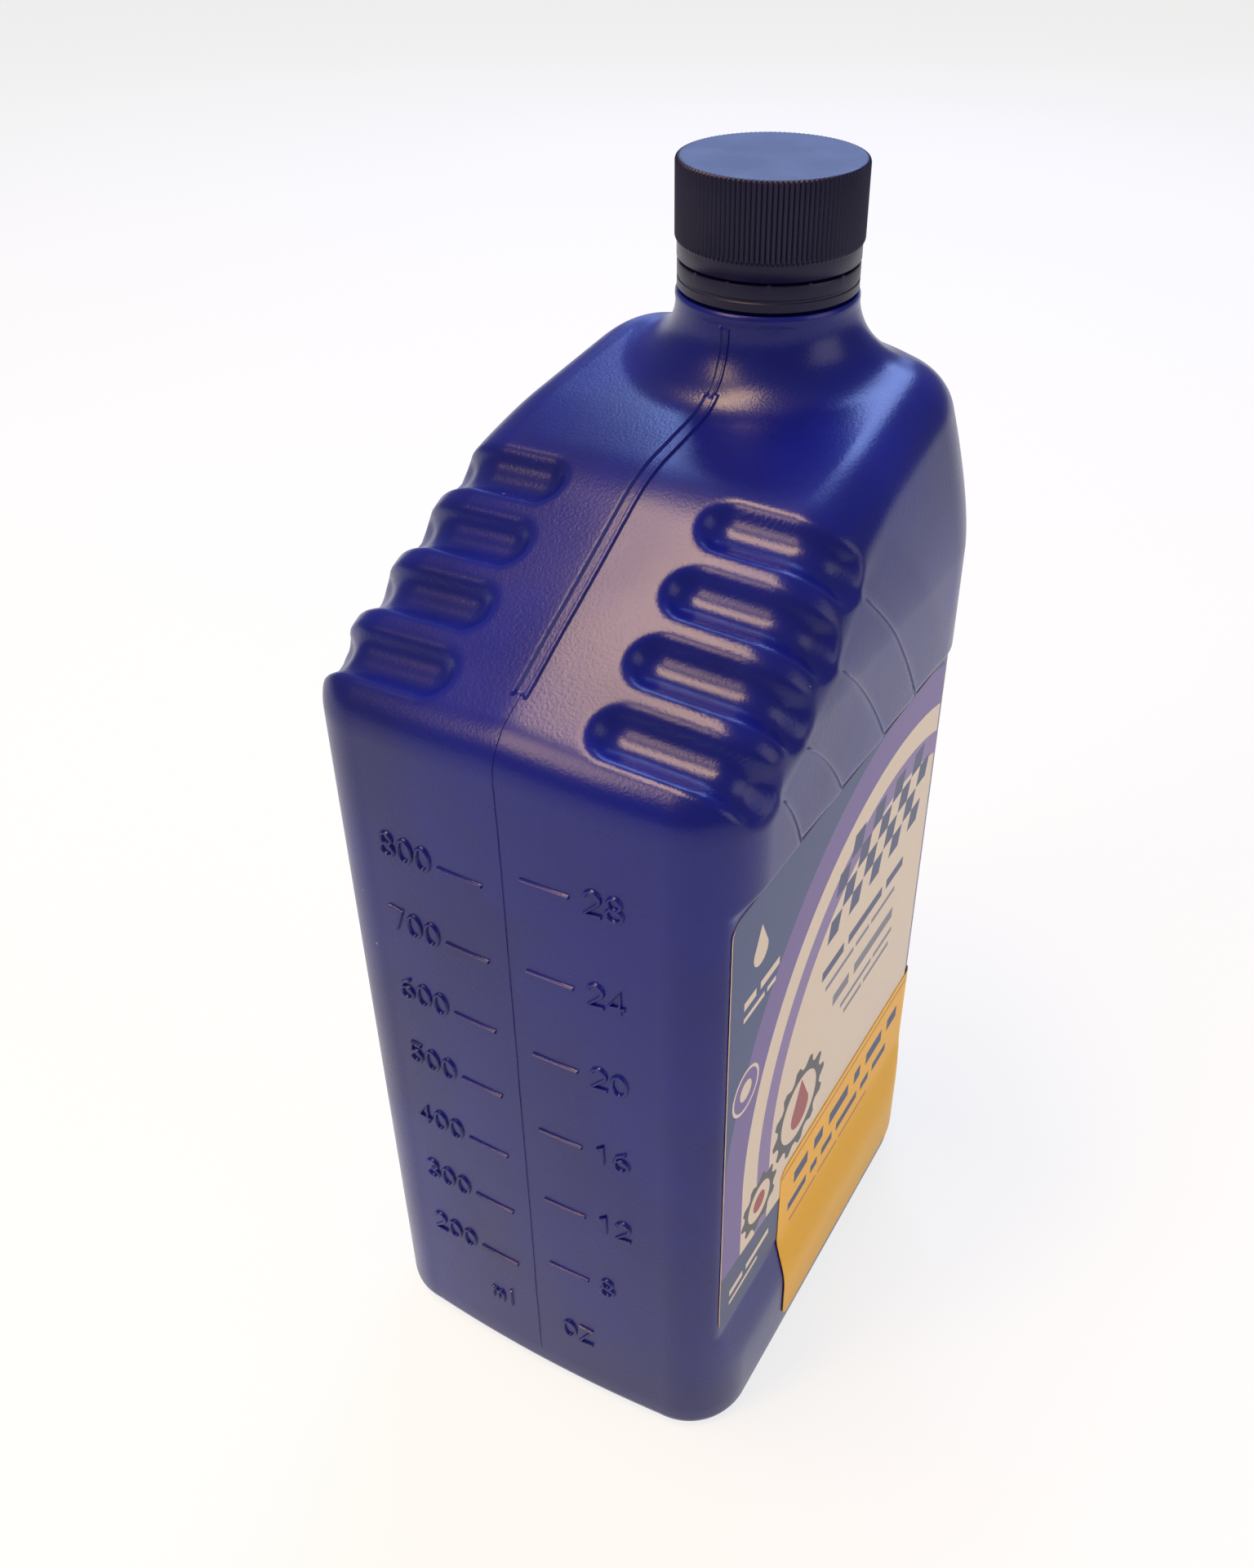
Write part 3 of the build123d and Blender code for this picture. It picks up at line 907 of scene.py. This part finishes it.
class BottleShellOperator(bpy.types.Operator):
    """Builds the blow-moulded shell with its neck, raised scale and parting line"""

    bl_idname = "bottle.shell"
    bl_label = "Shell"

    def execute(self, context):
        shell, scale, closure, _, colours = sizes_of(context)
        form = ShellForm(shell)
        count = shell.columns
        outline = whole_turn(half_outline(form, count // 2))
        ray = np.arctan2(outline[:, 1], outline[:, 0] - NECK_X)
        ray[count // 2] = pi
        ray = np.where(ray < 0, ray + 2 * pi, ray)
        angles = (ray + even_turns(count)) / 2
        targets = np.stack(
            [NECK_X + shell.neck_radius * np.cos(angles), shell.neck_radius * np.sin(angles)], -1
        )
        wall_top = shell.panel_high_z + 3.4 * MM
        plain = shoulder_rings(
            form, outline, targets, wall_top, shell.ledge_z - 1.6 * MM, shell.top_rings
        )
        heights = wall_heights(shell, wall_top)
        flat = np.stack([np.column_stack([outline, np.full(count, z)]) for z in heights])
        plain = np.concatenate([flat, plain])
        normals = form.slope_of(form.plain, plain)
        skin = form.sink_to(plain, normals, 0.0)
        skin[:, 0, 1] = skin[:, count // 2, 1] = 0
        edge = base_rings(form, outline, shell)
        neck = lathe(neck_profile(shell, closure, angles), angles, NECK_X)
        inside = inner_rings(form, plain, normals, shell, len(flat))
        rings = edge + list(skin) + neck + inside
        points = np.concatenate(rings)
        faces = grid_faces(len(rings), count)
        below, above = edge[0].mean(0), inside[-1].mean(0)
        below[2], above[2] = shell.push_up, shell.push_up + shell.wall
        faces += fan_faces(0, count, len(points), True)
        faces += fan_faces((len(rings) - 1) * count, count, len(points) + 1, False)
        points = np.concatenate([points, [below, above]])
        relief = Relief()
        raise_scale(relief, form, scale)
        raise_creases(relief, form, scale)
        self.raise_parting_line(relief, skin, normals, count, scale, shell)
        start = len(points)
        points = np.concatenate([points, np.array(relief.points)])
        faces += [tuple(start + i for i in face) for face in relief.faces]
        material = blow_moulded_hdpe(colours)
        make_piece("bottle_shell", points, faces, [material], "bottle", ["bottle"])
        return {"FINISHED"}

    @staticmethod
    def raise_parting_line(relief, skin, normals, count, scale, shell):
        """The double ridge up the slope and the neck, and a thin flash on the faces."""
        near, near_up = skin[:, count // 2], normals[:, count // 2]
        corner = int(np.argmax(near[:, 2] > shell.grip_foot_z - 1.5 * MM))
        root = int(np.argmax(near[:, 2] > shell.ledge_z - 11 * MM))
        far, far_up = skin[:, 0], normals[:, 0]
        ridge = (scale.seam_width, scale.seam_height, True)
        neck_ridge = (scale.seam_width * 0.62, scale.seam_height * 0.7, True)
        flash = (scale.flash_width, scale.flash_height, False)
        for path, up, form, rag in (
            (near[corner : root + 1], near_up[corner : root + 1], ridge, 0.12 * MM),
            (near[root - 2 :], near_up[root - 2 :], neck_ridge, 0.05 * MM),
            (near[: corner + 3], near_up[: corner + 3], flash, 0.28 * MM),
            (far, far_up, flash, 0.2 * MM),
        ):
            raise_seam(relief, path, up, *form, rag)


def wall_heights(shell, wall_top):
    """Heights of the side wall's rings: close together where it bends, far apart where it is flat."""
    heel = shell.panel_low_z - shell.heel_run
    parts = [
        np.linspace(shell.base_edge, heel - 1 * MM, 5),
        np.linspace(heel - 0.5 * MM, heel + 1 * MM, 4),
        np.linspace(heel + 2.5 * MM, shell.panel_low_z - 1.5 * MM, 5),
        np.linspace(shell.panel_low_z - 0.8 * MM, shell.panel_low_z + 0.8 * MM, 4),
        np.linspace(shell.panel_low_z + 3 * MM, shell.panel_high_z - 3 * MM, 14),
        np.arange(shell.panel_high_z - 1.4 * MM, wall_top - 0.3 * MM, 0.55 * MM),
    ]
    return np.concatenate(parts)


def base_rings(form, outline, shell):
    """The push-up, the standing ring and the rounded edge of the base, from the middle outwards."""
    points = np.column_stack([outline, np.full(len(outline), shell.lean_low_z / 2)])
    out = form.slope_of(form.plain, points)[:, :2]
    inner = outline - out * shell.standing_ring
    ring = []
    for share, z in ((0.45, shell.push_up), (0.9, shell.push_up), (0.95, 0.9 * MM), (0.985, 0.1 * MM)):
        ring.append(np.column_stack([inner * share, np.full(len(outline), z)]))
    ring.append(np.column_stack([inner, np.zeros(len(outline))]))
    for turn in np.linspace(0, 75, 6):
        inset = shell.base_edge * (1 - sin(radians(turn)))
        z = shell.base_edge * (1 - cos(radians(turn)))
        ring.append(np.column_stack([outline - out * inset, np.full(len(outline), z)]))
    return ring


def inner_rings(form, plain, normals, shell, walls):
    """The inside of the shell, from below the bore down to its floor."""
    top = list(range(len(plain) - 2, walls, -5))
    side = list(range(walls - 1, 5, -3))
    pick = top + side
    rings = list(form.sink_to(plain[pick], normals[pick], shell.wall))
    floor = plain[0].copy()
    out = normals[0][:, :2]
    for inset, z in ((shell.wall, 5 * MM), (2 * MM, 2.4 * MM), (shell.base_edge + shell.wall, 1.3 * MM)):
        floor[:, :2] = plain[0][:, :2] - out * inset
        floor[:, 2] = z
        rings.append(floor.copy())
    inner = plain[0][:, :2] - out * shell.standing_ring
    for share, z in ((1, shell.wall), (0.9, shell.push_up + shell.wall), (0.4, shell.push_up + shell.wall)):
        rings.append(np.column_stack([inner * share, np.full(len(inner), z)]))
    return rings


class BottleCapOperator(bpy.types.Operator):
    """Builds the ribbed screw cap with its inner thread"""

    bl_idname = "bottle.cap"
    bl_label = "Cap"

    def execute(self, context):
        shell, _, closure, _, colours = sizes_of(context)
        per_rib = 4
        count = closure.ribs * per_rib
        angles = even_turns(count)
        flute = np.array([0, 0.35, 1, 0.35])[np.arange(count) % per_rib] * closure.rib_depth
        outer = (CAP_HIGH.x - CAP_LOW.x) / 2
        top, low = CAP_HIGH.z, CAP_LOW.z
        ribs_low = low + closure.ring_height
        ring = outer - closure.ring_in
        inner = outer - closure.wall
        profile = [
            (inner, low + 0.15 * MM),
            (inner + 0.15 * MM, low),
            (ring - 0.2 * MM, low),
            (ring, low + 0.2 * MM),
            (ring, ribs_low - 0.35 * MM),
            (ring + 0.02 * MM - flute * 0.1, ribs_low - 0.1 * MM),
            (outer - 0.12 * MM - flute, ribs_low + 0.15 * MM),
            (outer - flute, ribs_low + 0.5 * MM),
            (outer - flute, top - closure.edge * 1.1),
            (outer - flute * 0.9 - 0.08 * MM, top - closure.edge * 0.6),
            (outer - flute * 1.1 - 0.22 * MM, top - closure.edge * 0.2),
            (outer - 0.5 * MM - flute, top),
            (outer - 1.3 * MM, top),
            (outer - 1.7 * MM, top - closure.dish),
            (outer * 0.55, top - closure.dish),
            (outer * 0.2, top - closure.dish * 0.9),
        ]
        rings = lathe(profile, angles, NECK_X)
        inside_z = LINER_HIGH.z
        under = [(outer * 0.3, inside_z + 0.02 * MM), (inner - 0.3 * MM, inside_z + 0.02 * MM)]
        under.append((inner, inside_z - 0.3 * MM))
        thread_low, thread_high = thread_span(shell)
        for z in np.arange(RIM_Z - 0.6 * MM, low + 0.5 * MM, -0.5 * MM):
            ridge = thread_bump(angles, z, thread_low, thread_high, closure, closure.thread_pitch / 2)
            under.append((inner - ridge * 0.9, z))
        under_rings = lathe(under, angles, NECK_X)
        outside = np.concatenate(rings)
        faces = grid_faces(len(rings), count)
        last = (len(rings) - 1) * count
        centre = np.array([[NECK_X, 0, top - closure.dish * 0.85]])
        faces += fan_faces(last, count, len(outside), False)
        start = len(outside) + 1
        inside = np.concatenate(under_rings)
        faces += [tuple(start + i for i in face) for face in grid_faces(len(under_rings), count)]
        middle = np.array([[NECK_X, 0, inside_z + 0.02 * MM]])
        faces += fan_faces(start, count, start + len(inside), True)
        join = start + (len(under_rings) - 1) * count
        faces += join_faces(join, 0, count)
        points = np.concatenate([outside, centre, inside, middle])
        material = moulded_polypropylene(colours)
        make_piece("screw_cap", points, faces, [material], "cap", ["cap"], sharp=50)
        return {"FINISHED"}


class BottleBandOperator(bpy.types.Operator):
    """Builds the tamper band that stays on the neck"""

    bl_idname = "bottle.band"
    bl_label = "Tamper band"

    def execute(self, context):
        shell, _, closure, _, colours = sizes_of(context)
        per_bridge = 24
        count = closure.bridges * per_bridge
        angles = even_turns(count)
        stub = np.where(np.arange(count) % per_bridge < 2, closure.bridge_height, 0)
        low, high = BAND_LOW.z, BAND_HIGH.z
        outer = (BAND_HIGH.x - BAND_LOW.x) / 2
        inner = outer - closure.band_wall
        lip = shell.finish_radius + 0.35 * MM
        profile = [
            (lip, low + 0.3 * MM),
            (lip + 0.2 * MM, low),
            (outer - 0.25 * MM, low),
            (outer, low + 0.25 * MM),
            (outer, low + 1.5 * MM),
            (outer - 0.14 * MM, low + 1.65 * MM),
            (outer - 0.14 * MM, low + 1.95 * MM),
            (outer, low + 2.1 * MM),
            (outer, high - 0.35 * MM),
            (outer - 0.1 * MM, high - 0.1 * MM + stub),
            (outer - 0.3 * MM, high + stub),
            (inner + 0.1 * MM, high + stub),
            (inner, high - 0.2 * MM + stub * 0.2),
            (inner, low + 1.3 * MM),
            (lip, low + 1.1 * MM),
            (lip, low + 0.3 * MM),
        ]
        rings = lathe(profile[:-1], angles, NECK_X)
        faces = grid_faces(len(rings), count)
        last = (len(rings) - 1) * count
        faces += join_faces(last, 0, count)
        material = bpy.data.materials.get("Polypropylene, moulded") or moulded_polypropylene(colours)
        points = np.concatenate(rings)
        make_piece("tamper_ring", points, faces, [material], "bottle", ["tamper_band"])
        return {"FINISHED"}


class BottleLinerOperator(bpy.types.Operator):
    """Builds the foam liner with the print of the neck's rim in it"""

    bl_idname = "bottle.liner"
    bl_label = "Liner"

    def execute(self, context):
        shell, _, _, _, colours = sizes_of(context)
        count = 128
        angles = even_turns(count)
        outer = (LINER_HIGH.x - LINER_LOW.x) / 2
        low, high = LINER_LOW.z, LINER_HIGH.z
        press = 0.08 * MM
        profile = [
            (shell.bore * 0.4, low + 0.02 * MM),
            (shell.bore, low),
            (shell.bore + 0.3 * MM, low + press),
            (shell.finish_radius - 0.2 * MM, low + press),
            (shell.finish_radius + 0.2 * MM, low + 0.01 * MM),
            (outer - 0.2 * MM, low + 0.02 * MM),
            (outer, low + 0.25 * MM),
            (outer, high - 0.25 * MM),
            (outer - 0.2 * MM, high),
            (shell.bore * 0.4, high),
        ]
        rings = lathe(profile, angles, NECK_X)
        points = np.concatenate(rings + [np.array([[NECK_X, 0, low + 0.02 * MM], [NECK_X, 0, high]])])
        faces = grid_faces(len(rings), count)
        faces += fan_faces(0, count, len(rings) * count, True)
        faces += fan_faces((len(rings) - 1) * count, count, len(rings) * count + 1, False)
        material = pressed_foam(colours)
        make_piece("foam_liner", points, faces, [material], "liner", ["cap_liner"])
        return {"FINISHED"}


# Print


class Print:
    """Fields of colour laid one over another, cut into one flat mesh."""

    def __init__(self):
        self.shapes = []

    def add(self, outline, ink):
        """Lays a closed outline of (right, up) points over what is there."""
        self.shapes.append(([tuple(p) for p in outline], ink))

    def box(self, left, low, right, high, ink, skew=0.0):
        """An upright bar, or one that leans by skew over its height."""
        self.add([(left, low), (right, low), (right + skew, high), (left + skew, high)], ink)

    def disc(self, x, z, radius, ink, count=40):
        """A round field."""
        turns = np.linspace(0, 2 * pi, count, endpoint=False)
        self.add([(x + radius * cos(t), z + radius * sin(t)) for t in turns], ink)

    def drop(self, x, z, radius, ink):
        """A plain drop: a round foot under a point."""
        turns = np.radians(np.linspace(-215, 35, 30))
        line = [(x + radius * cos(t), z + radius * sin(t)) for t in turns]
        self.add(line + [(x, z + radius * 2.3)], ink)

    def gear(self, x, z, radius, teeth, ink):
        """A plain toothed wheel."""
        line = []
        for index in range(teeth * 4):
            turn = 2 * pi * (index + 0.5) / (teeth * 4)
            reach = radius * (1.0 if index % 4 < 2 else 0.84)
            line.append((x + reach * cos(turn), z + reach * sin(turn)))
        self.add(line, ink)

    def bars(self, left, high, words, height, ink):
        """A line of plain bars that stands for small print: widths, with gaps between them."""
        x = left
        for width in words:
            self.box(x, high - height, x + width, high, ink)
            x += width + height * 0.9

    def cut(self, frame_outline):
        """Cuts the shapes into triangles inside the outline; each has the ink of the top shape over it."""
        points, loops = [], []
        for outline, _ in [(frame_outline, 0)] + self.shapes:
            loops.append(list(range(len(points), len(points) + len(outline))))
            points += [Vector(p) for p in outline]
        inside_only, merge_reach = 1, 1e-7
        made = delaunay_2d_cdt(points, [], loops, inside_only, merge_reach, True)
        flat, faces, origins = made[0], made[2], made[5]
        inks = [0] + [ink for _, ink in self.shapes]
        keep, marks = [], []
        for face, origin in zip(faces, origins):
            if 0 in origin:
                keep.append(tuple(face))
                marks.append(inks[max(origin)])
        used = sorted({corner for face in keep for corner in face})
        place = {corner: index for index, corner in enumerate(used)}
        keep = [tuple(place[corner] for corner in face) for face in keep]
        return [tuple(flat[corner]) for corner in used], keep, marks


def rounded_outline(left, low, right, high, radius, count=6):
    """A rectangle with rounded corners, anticlockwise."""
    line = []
    corners = ((right, low, -90), (right, high, 0), (left, high, 90), (left, low, 180))
    for x, z, start in corners:
        cx = x - radius if x == right else x + radius
        cz = z - radius if z == high else z + radius
        for turn in np.radians(np.linspace(start, start + 90, count)):
            line.append((cx + radius * cos(turn), cz + radius * sin(turn)))
    return line


def label_print(label, left, low, right, high):
    """The front label: curved stripes over a slate corner, a chequered band, an emblem and plain bars."""
    cream, slate, purple, lilac, navy, grey, red, dark = range(8)
    sheet = Print()
    cx, cz = label.arc_x, label.arc_z
    sheet.box(left - 1 * MM, low - 1 * MM, right + 1 * MM, high + 1 * MM, slate)
    widths = ((0, purple), (label.stripe, cream), (label.stripe * 1.7, lilac), (label.stripe * 2.3, cream))
    for inset, ink in widths:
        radius = label.arc_radius - inset
        turns = np.radians(np.linspace(-10, 182, 60))
        arc_line = [(cx + radius * cos(t), cz + radius * sin(t)) for t in turns]
        sheet.add(arc_line + [(cx - radius, low - 40 * MM), (cx + radius, low - 40 * MM)], ink)
    sheet.add([(left - 1 * MM, low - 1 * MM), (right + 1 * MM, low - 1 * MM), (right + 1 * MM, low + 4 * MM),
               (left - 1 * MM, low + 15 * MM)], navy)
    side = label.chequer
    for row in range(4):
        for column in range(9):
            if (row + column) % 2 == 0:
                x = -9 * MM + column * side + row * 1.1 * MM
                z = 92 * MM + row * side
                sheet.box(x, z, x + side, z + side, navy, skew=1.1 * MM)
    for x, z, words, height, ink in (
        (-10, 86.5, (9, 15, 8), 2.2, navy),
        (-8, 81.5, (12, 6, 11), 1.1, grey),
        (-4, 76, (7, 18), 2.6, grey),
        (0, 70.5, (14, 9), 1.1, grey),
        (2, 67.5, (8, 12), 1.1, grey),
    ):
        sheet.bars(x * MM, z * MM, [w * MM for w in words], height * MM, ink)
    gx, gz = -16 * MM, 59 * MM
    sheet.gear(gx, gz, 10.5 * MM, 12, dark)
    sheet.disc(gx, gz, 7.2 * MM, cream)
    sheet.drop(gx + 0.5 * MM, gz - 1.6 * MM, 3.6 * MM, red)
    small_x, small_z = gx - 15 * MM, gz - 9.5 * MM
    sheet.gear(small_x, small_z, 6.8 * MM, 10, dark)
    sheet.disc(small_x, small_z, 4.2 * MM, cream)
    sheet.disc(small_x, small_z, 2.2 * MM, red)
    for radius, ink in ((4.6, cream), (4.0, purple), (2.0, cream)):
        sheet.disc(-38.6 * MM, 85.5 * MM, radius * MM, ink)
    sheet.drop(-35.5 * MM, 112.5 * MM, 2.4 * MM, cream)
    for x, z, words, height in (
        (-40.5, 106, (4, 6.5), 1.6),
        (-40.5, 102.8, (7, 3), 1.0),
        (-41.5, 36.5, (5, 9), 1.5),
        (-41.5, 33.5, (11,), 0.9),
    ):
        sheet.bars(x * MM, z * MM, [w * MM for w in words], height * MM, cream)
    return sheet


def back_print(left, low, right, high):
    """The back label, plain: a slate head, cream ground and rows of bars."""
    cream, slate, purple, _, navy, grey = range(6)
    sheet = Print()
    sheet.box(left - 1 * MM, low - 1 * MM, right + 1 * MM, high + 1 * MM, cream)
    sheet.box(left - 1 * MM, high - 17 * MM, right + 1 * MM, high + 1 * MM, slate)
    sheet.box(left - 1 * MM, high - 19.5 * MM, right + 1 * MM, high - 17 * MM, purple)
    sheet.box(left - 1 * MM, low - 1 * MM, right + 1 * MM, low + 5 * MM, navy)
    sheet.bars(left + 7 * MM, high - 7.5 * MM, [20 * MM, 14 * MM, 9 * MM], 2.6 * MM, cream)
    rows = [[22, 14, 9, 18], [15, 25, 12, 11], [9, 17, 21, 16], [24, 11, 8, 20], [14, 19, 13]]
    for index in range(11):
        words = [w * MM for w in rows[index % len(rows)]]
        sheet.bars(left + 6 * MM, high - 27 * MM - index * 4.6 * MM, words, 1.1 * MM, grey)
    return sheet


def sticker_print(left, low, right, high):
    """The sticker: a yellow ground with two lines of plain bars in dark ink and a row of small ones."""
    yellow, dark, amber = range(3)
    sheet = Print()
    step = 1.25 * MM
    across, up = ceil((right - left) / step), ceil((high - low) / step)
    for column in range(across):
        for row in range(up):
            x, z = left + column * step, low + row * step
            sheet.box(x, z, x + step, z + step, yellow)
    sheet.box(left - 1 * MM, high - 2.2 * MM, right + 1 * MM, high - 1.5 * MM, amber)
    for inset, drop, words, height, ink in (
        (6, 6, (6, 4, 9, 3, 8, 5), 3.2, dark),
        (4, 13, (8, 3, 5, 10, 4, 7), 2.2, dark),
        (5, 18.5, (12, 9, 14), 1.0, amber),
    ):
        sheet.bars(left + inset * MM, high - drop * MM, [w * MM for w in words], height * MM, ink)
    return sheet


def skin_piece(flat, faces, place, thickness):
    """Bends flat print into place and gives it its back and its edge."""
    front = [place(u, v, 0.0) for u, v in flat]
    back = [place(u, v, thickness) for u, v in flat]
    shift = len(front)
    seen = {pair: True for face in faces for pair in zip(face, face[1:] + face[:1])}
    all_faces = [tuple(face) for face in faces]
    all_faces += [tuple(shift + i for i in reversed(face)) for face in faces]
    for a, b in seen:
        if (b, a) not in seen:
            all_faces.append((b, a, shift + a, shift + b))
    return front + back, all_faces


def inks_of(colours):
    """The front label's inks, in the order that the print names them."""
    names = ("cream", "slate", "purple", "lilac", "navy", "grey", "red", "dark")
    return [
        bpy.data.materials.get(f"Printed film, {name}") or printed_film(name, getattr(colours, name))
        for name in names
    ]


class BottleLabelsOperator(bpy.types.Operator):
    """Builds the printed front and back labels"""

    bl_idname = "bottle.labels"
    bl_label = "Labels"

    def execute(self, context):
        _, _, _, label, colours = sizes_of(context)
        inks = inks_of(colours)
        left, right = LABEL_LOW.x, LABEL_HIGH.x
        low, high = LABEL_LOW.z, LABEL_HIGH.z
        outline = rounded_outline(left, low, right, high, label.corner)
        outer = abs(LABEL_LOW.y)
        for name, sheet, side, node in (
            ("front_film", label_print(label, left, low, right, high), -1, "front_label"),
            ("back_film", back_print(-right, low, -left, high), 1, "back_label"),
        ):
            frame_line = outline if side < 0 else [(-x, z) for x, z in reversed(outline)]
            flat, faces, marks = sheet.cut(frame_line)

            def place(u, v, depth, side=side):
                return (u if side < 0 else -u, side * (outer - depth), v)

            points, all_faces = skin_piece(flat, faces, place, label.film)
            all_marks = marks + [0] * (len(all_faces) - len(faces))
            make_piece(name, points, all_faces, inks, "bottle", [node], all_marks)
        return {"FINISHED"}


class BottleStickerOperator(bpy.types.Operator):
    """Builds the sticker that bends over the ledge and round the far corner"""

    bl_idname = "bottle.sticker"
    bl_label = "Sticker"

    def execute(self, context):
        shell, _, _, label, colours = sizes_of(context)
        form = ShellForm(shell)
        left, right = STICKER_LOW.x, STICKER_HIGH.x
        low, high = STICKER_LOW.z, STICKER_HIGH.z
        sheet = sticker_print(left, low, right, high)
        flat, faces, marks = sheet.cut(rounded_outline(left, low, right, high, label.corner))
        where = np.array([[u, -HALF_DEPTH - 2 * MM, v] for u, v in flat])
        forward = np.array([0, -1.0, 0])
        for _ in range(60):
            off = form.full(where) - 2 * label.film
            where[:, 1] += off * 0.8
        out = form.slope_of(form.full, where)
        out = (out + forward) / np.linalg.norm(out + forward, axis=1, keepdims=True)
        lookup = {tuple(p): (where[i], out[i]) for i, p in enumerate(flat)}

        def place(u, v, depth):
            point, normal = lookup[(u, v)]
            return tuple(point - normal * depth)

        points, all_faces = skin_piece(flat, faces, place, label.film)
        inks = [
            printed_paper("yellow", colours.yellow),
            printed_paper("dark ink", colours.navy),
            printed_paper("amber ink", linear("c9860e")),
        ]
        all_marks = marks + [0] * (len(all_faces) - len(faces))
        make_piece(
            "yellow_sticker", points, all_faces, inks, "bottle", ["promo_sticker"], all_marks
        )
        return {"FINISHED"}


# Stage


def soft_light(name, middle, way, distance, size, radiance, tint):
    """A soft box: a rectangular area lamp of a given radiance, some way off in one direction."""
    lamp = bpy.data.lights.new(name, "AREA")
    lamp.shape = "RECTANGLE"
    lamp.size, lamp.size_y = size
    lamp.energy = radiance * pi * size[0] * size[1]
    lamp.color = tint
    box = bpy.data.objects.new(name, lamp)
    box.location = middle + Vector(way).normalized() * distance
    box.rotation_euler = (-Vector(way)).to_track_quat("-Z", "Y").to_euler()
    box.visible_camera = False
    bpy.context.scene.collection.objects.link(box)


class BottleStageOperator(bpy.types.Operator):
    """Sets the floor, the soft lights, the world and the camera"""

    bl_idname = "bottle.stage"
    bl_label = "Stage"

    def execute(self, context):
        scene = context.scene
        colours = scene.bottle_colours
        mesh = bpy.data.meshes.new("studio_floor")
        corners = [(x * FLOOR_REACH, y * FLOOR_REACH, 0) for x, y in ((-1, -1), (1, -1), (1, 1), (-1, 1))]
        mesh.from_pydata(corners, [], [(0, 1, 2, 3)])
        mesh.materials.append(studio_floor_paint(colours))
        floor = bpy.data.objects.new("studio_floor", mesh)
        scene.collection.objects.link(floor)
        middle = Vector((0, 0, 0.75 * RIM_Z))
        for name, way, distance, size, radiance, tint in SOFT_BOXES:
            soft_light(name, middle, way, distance, size, radiance, linear(tint))
        self.set_world(scene)
        self.set_camera(scene)
        scene.view_settings.view_transform = "Standard"
        return {"FINISHED"}

    @staticmethod
    def set_world(scene):
        """A dim even world, which lifts the shadows a little."""
        world = scene.world or bpy.data.worlds.new("studio_world")
        scene.world = world
        world.use_nodes = True
        tree = world.node_tree
        tree.nodes.clear()
        values = {"Color": WORLD_COLOUR, "Strength": WORLD_STRENGTH}
        dim = add_node(tree, "ShaderNodeBackground", values=values)
        add_node(tree, "ShaderNodeOutputWorld", links={"Surface": dim.outputs["Background"]})

    @staticmethod
    def set_camera(scene):
        """The camera looks down on the scale face and the front label."""
        lens = bpy.data.cameras.new("studio_camera")
        lens.lens = FOCAL_MM
        lens.sensor_width = SENSOR_MM
        lens.shift_x, lens.shift_y = LENS_SHIFT
        lens.clip_start = 0.01
        camera = bpy.data.objects.new("studio_camera", lens)
        camera.location = CAMERA_PLACE
        camera.rotation_euler = Vector(CAMERA_GAZE).to_track_quat("-Z", "Y").to_euler()
        scene.collection.objects.link(camera)
        scene.camera = camera


class BottlePanel(bpy.types.Panel):
    """Lists the bottle's operators and its sizes"""

    bl_idname = "VIEW3D_PT_oil_bottle"
    bl_label = "Oil bottle"
    bl_space_type = "VIEW_3D"
    bl_region_type = "UI"
    bl_category = "Oil bottle"

    def draw(self, context):
        layout = self.layout
        for operator in OPERATORS:
            layout.operator(operator.bl_idname)
        for group in sizes_of(context):
            box = layout.box()
            for name in group.bl_rna.properties.keys():
                if name not in ("rna_type", "name"):
                    box.prop(group, name)


OPERATORS = (
    BottleShellOperator,
    BottleCapOperator,
    BottleBandOperator,
    BottleLinerOperator,
    BottleLabelsOperator,
    BottleStickerOperator,
    BottleStageOperator,
)
GROUPS = {
    "bottle_shell": ShellSizes,
    "bottle_scale": ScaleSizes,
    "bottle_closure": ClosureSizes,
    "bottle_label": LabelSizes,
    "bottle_colours": Colours,
}


def register():
    """Registers the groups, the operators and the panel."""
    for name, group in GROUPS.items():
        bpy.utils.register_class(group)
        setattr(bpy.types.Scene, name, PointerProperty(type=group))
    for kind in OPERATORS + (BottlePanel,):
        bpy.utils.register_class(kind)


def unregister():
    """Takes everything out again."""
    for kind in reversed(OPERATORS + (BottlePanel,)):
        bpy.utils.unregister_class(kind)
    for name, group in GROUPS.items():
        delattr(bpy.types.Scene, name)
        bpy.utils.unregister_class(group)


def main():
    """Registers the add-on and builds every piece in order, then the stage."""
    register()
    bpy.ops.bottle.shell()
    bpy.ops.bottle.cap()
    bpy.ops.bottle.band()
    bpy.ops.bottle.liner()
    bpy.ops.bottle.labels()
    bpy.ops.bottle.sticker()
    bpy.ops.bottle.stage()


if __name__ == "__main__":
    main()
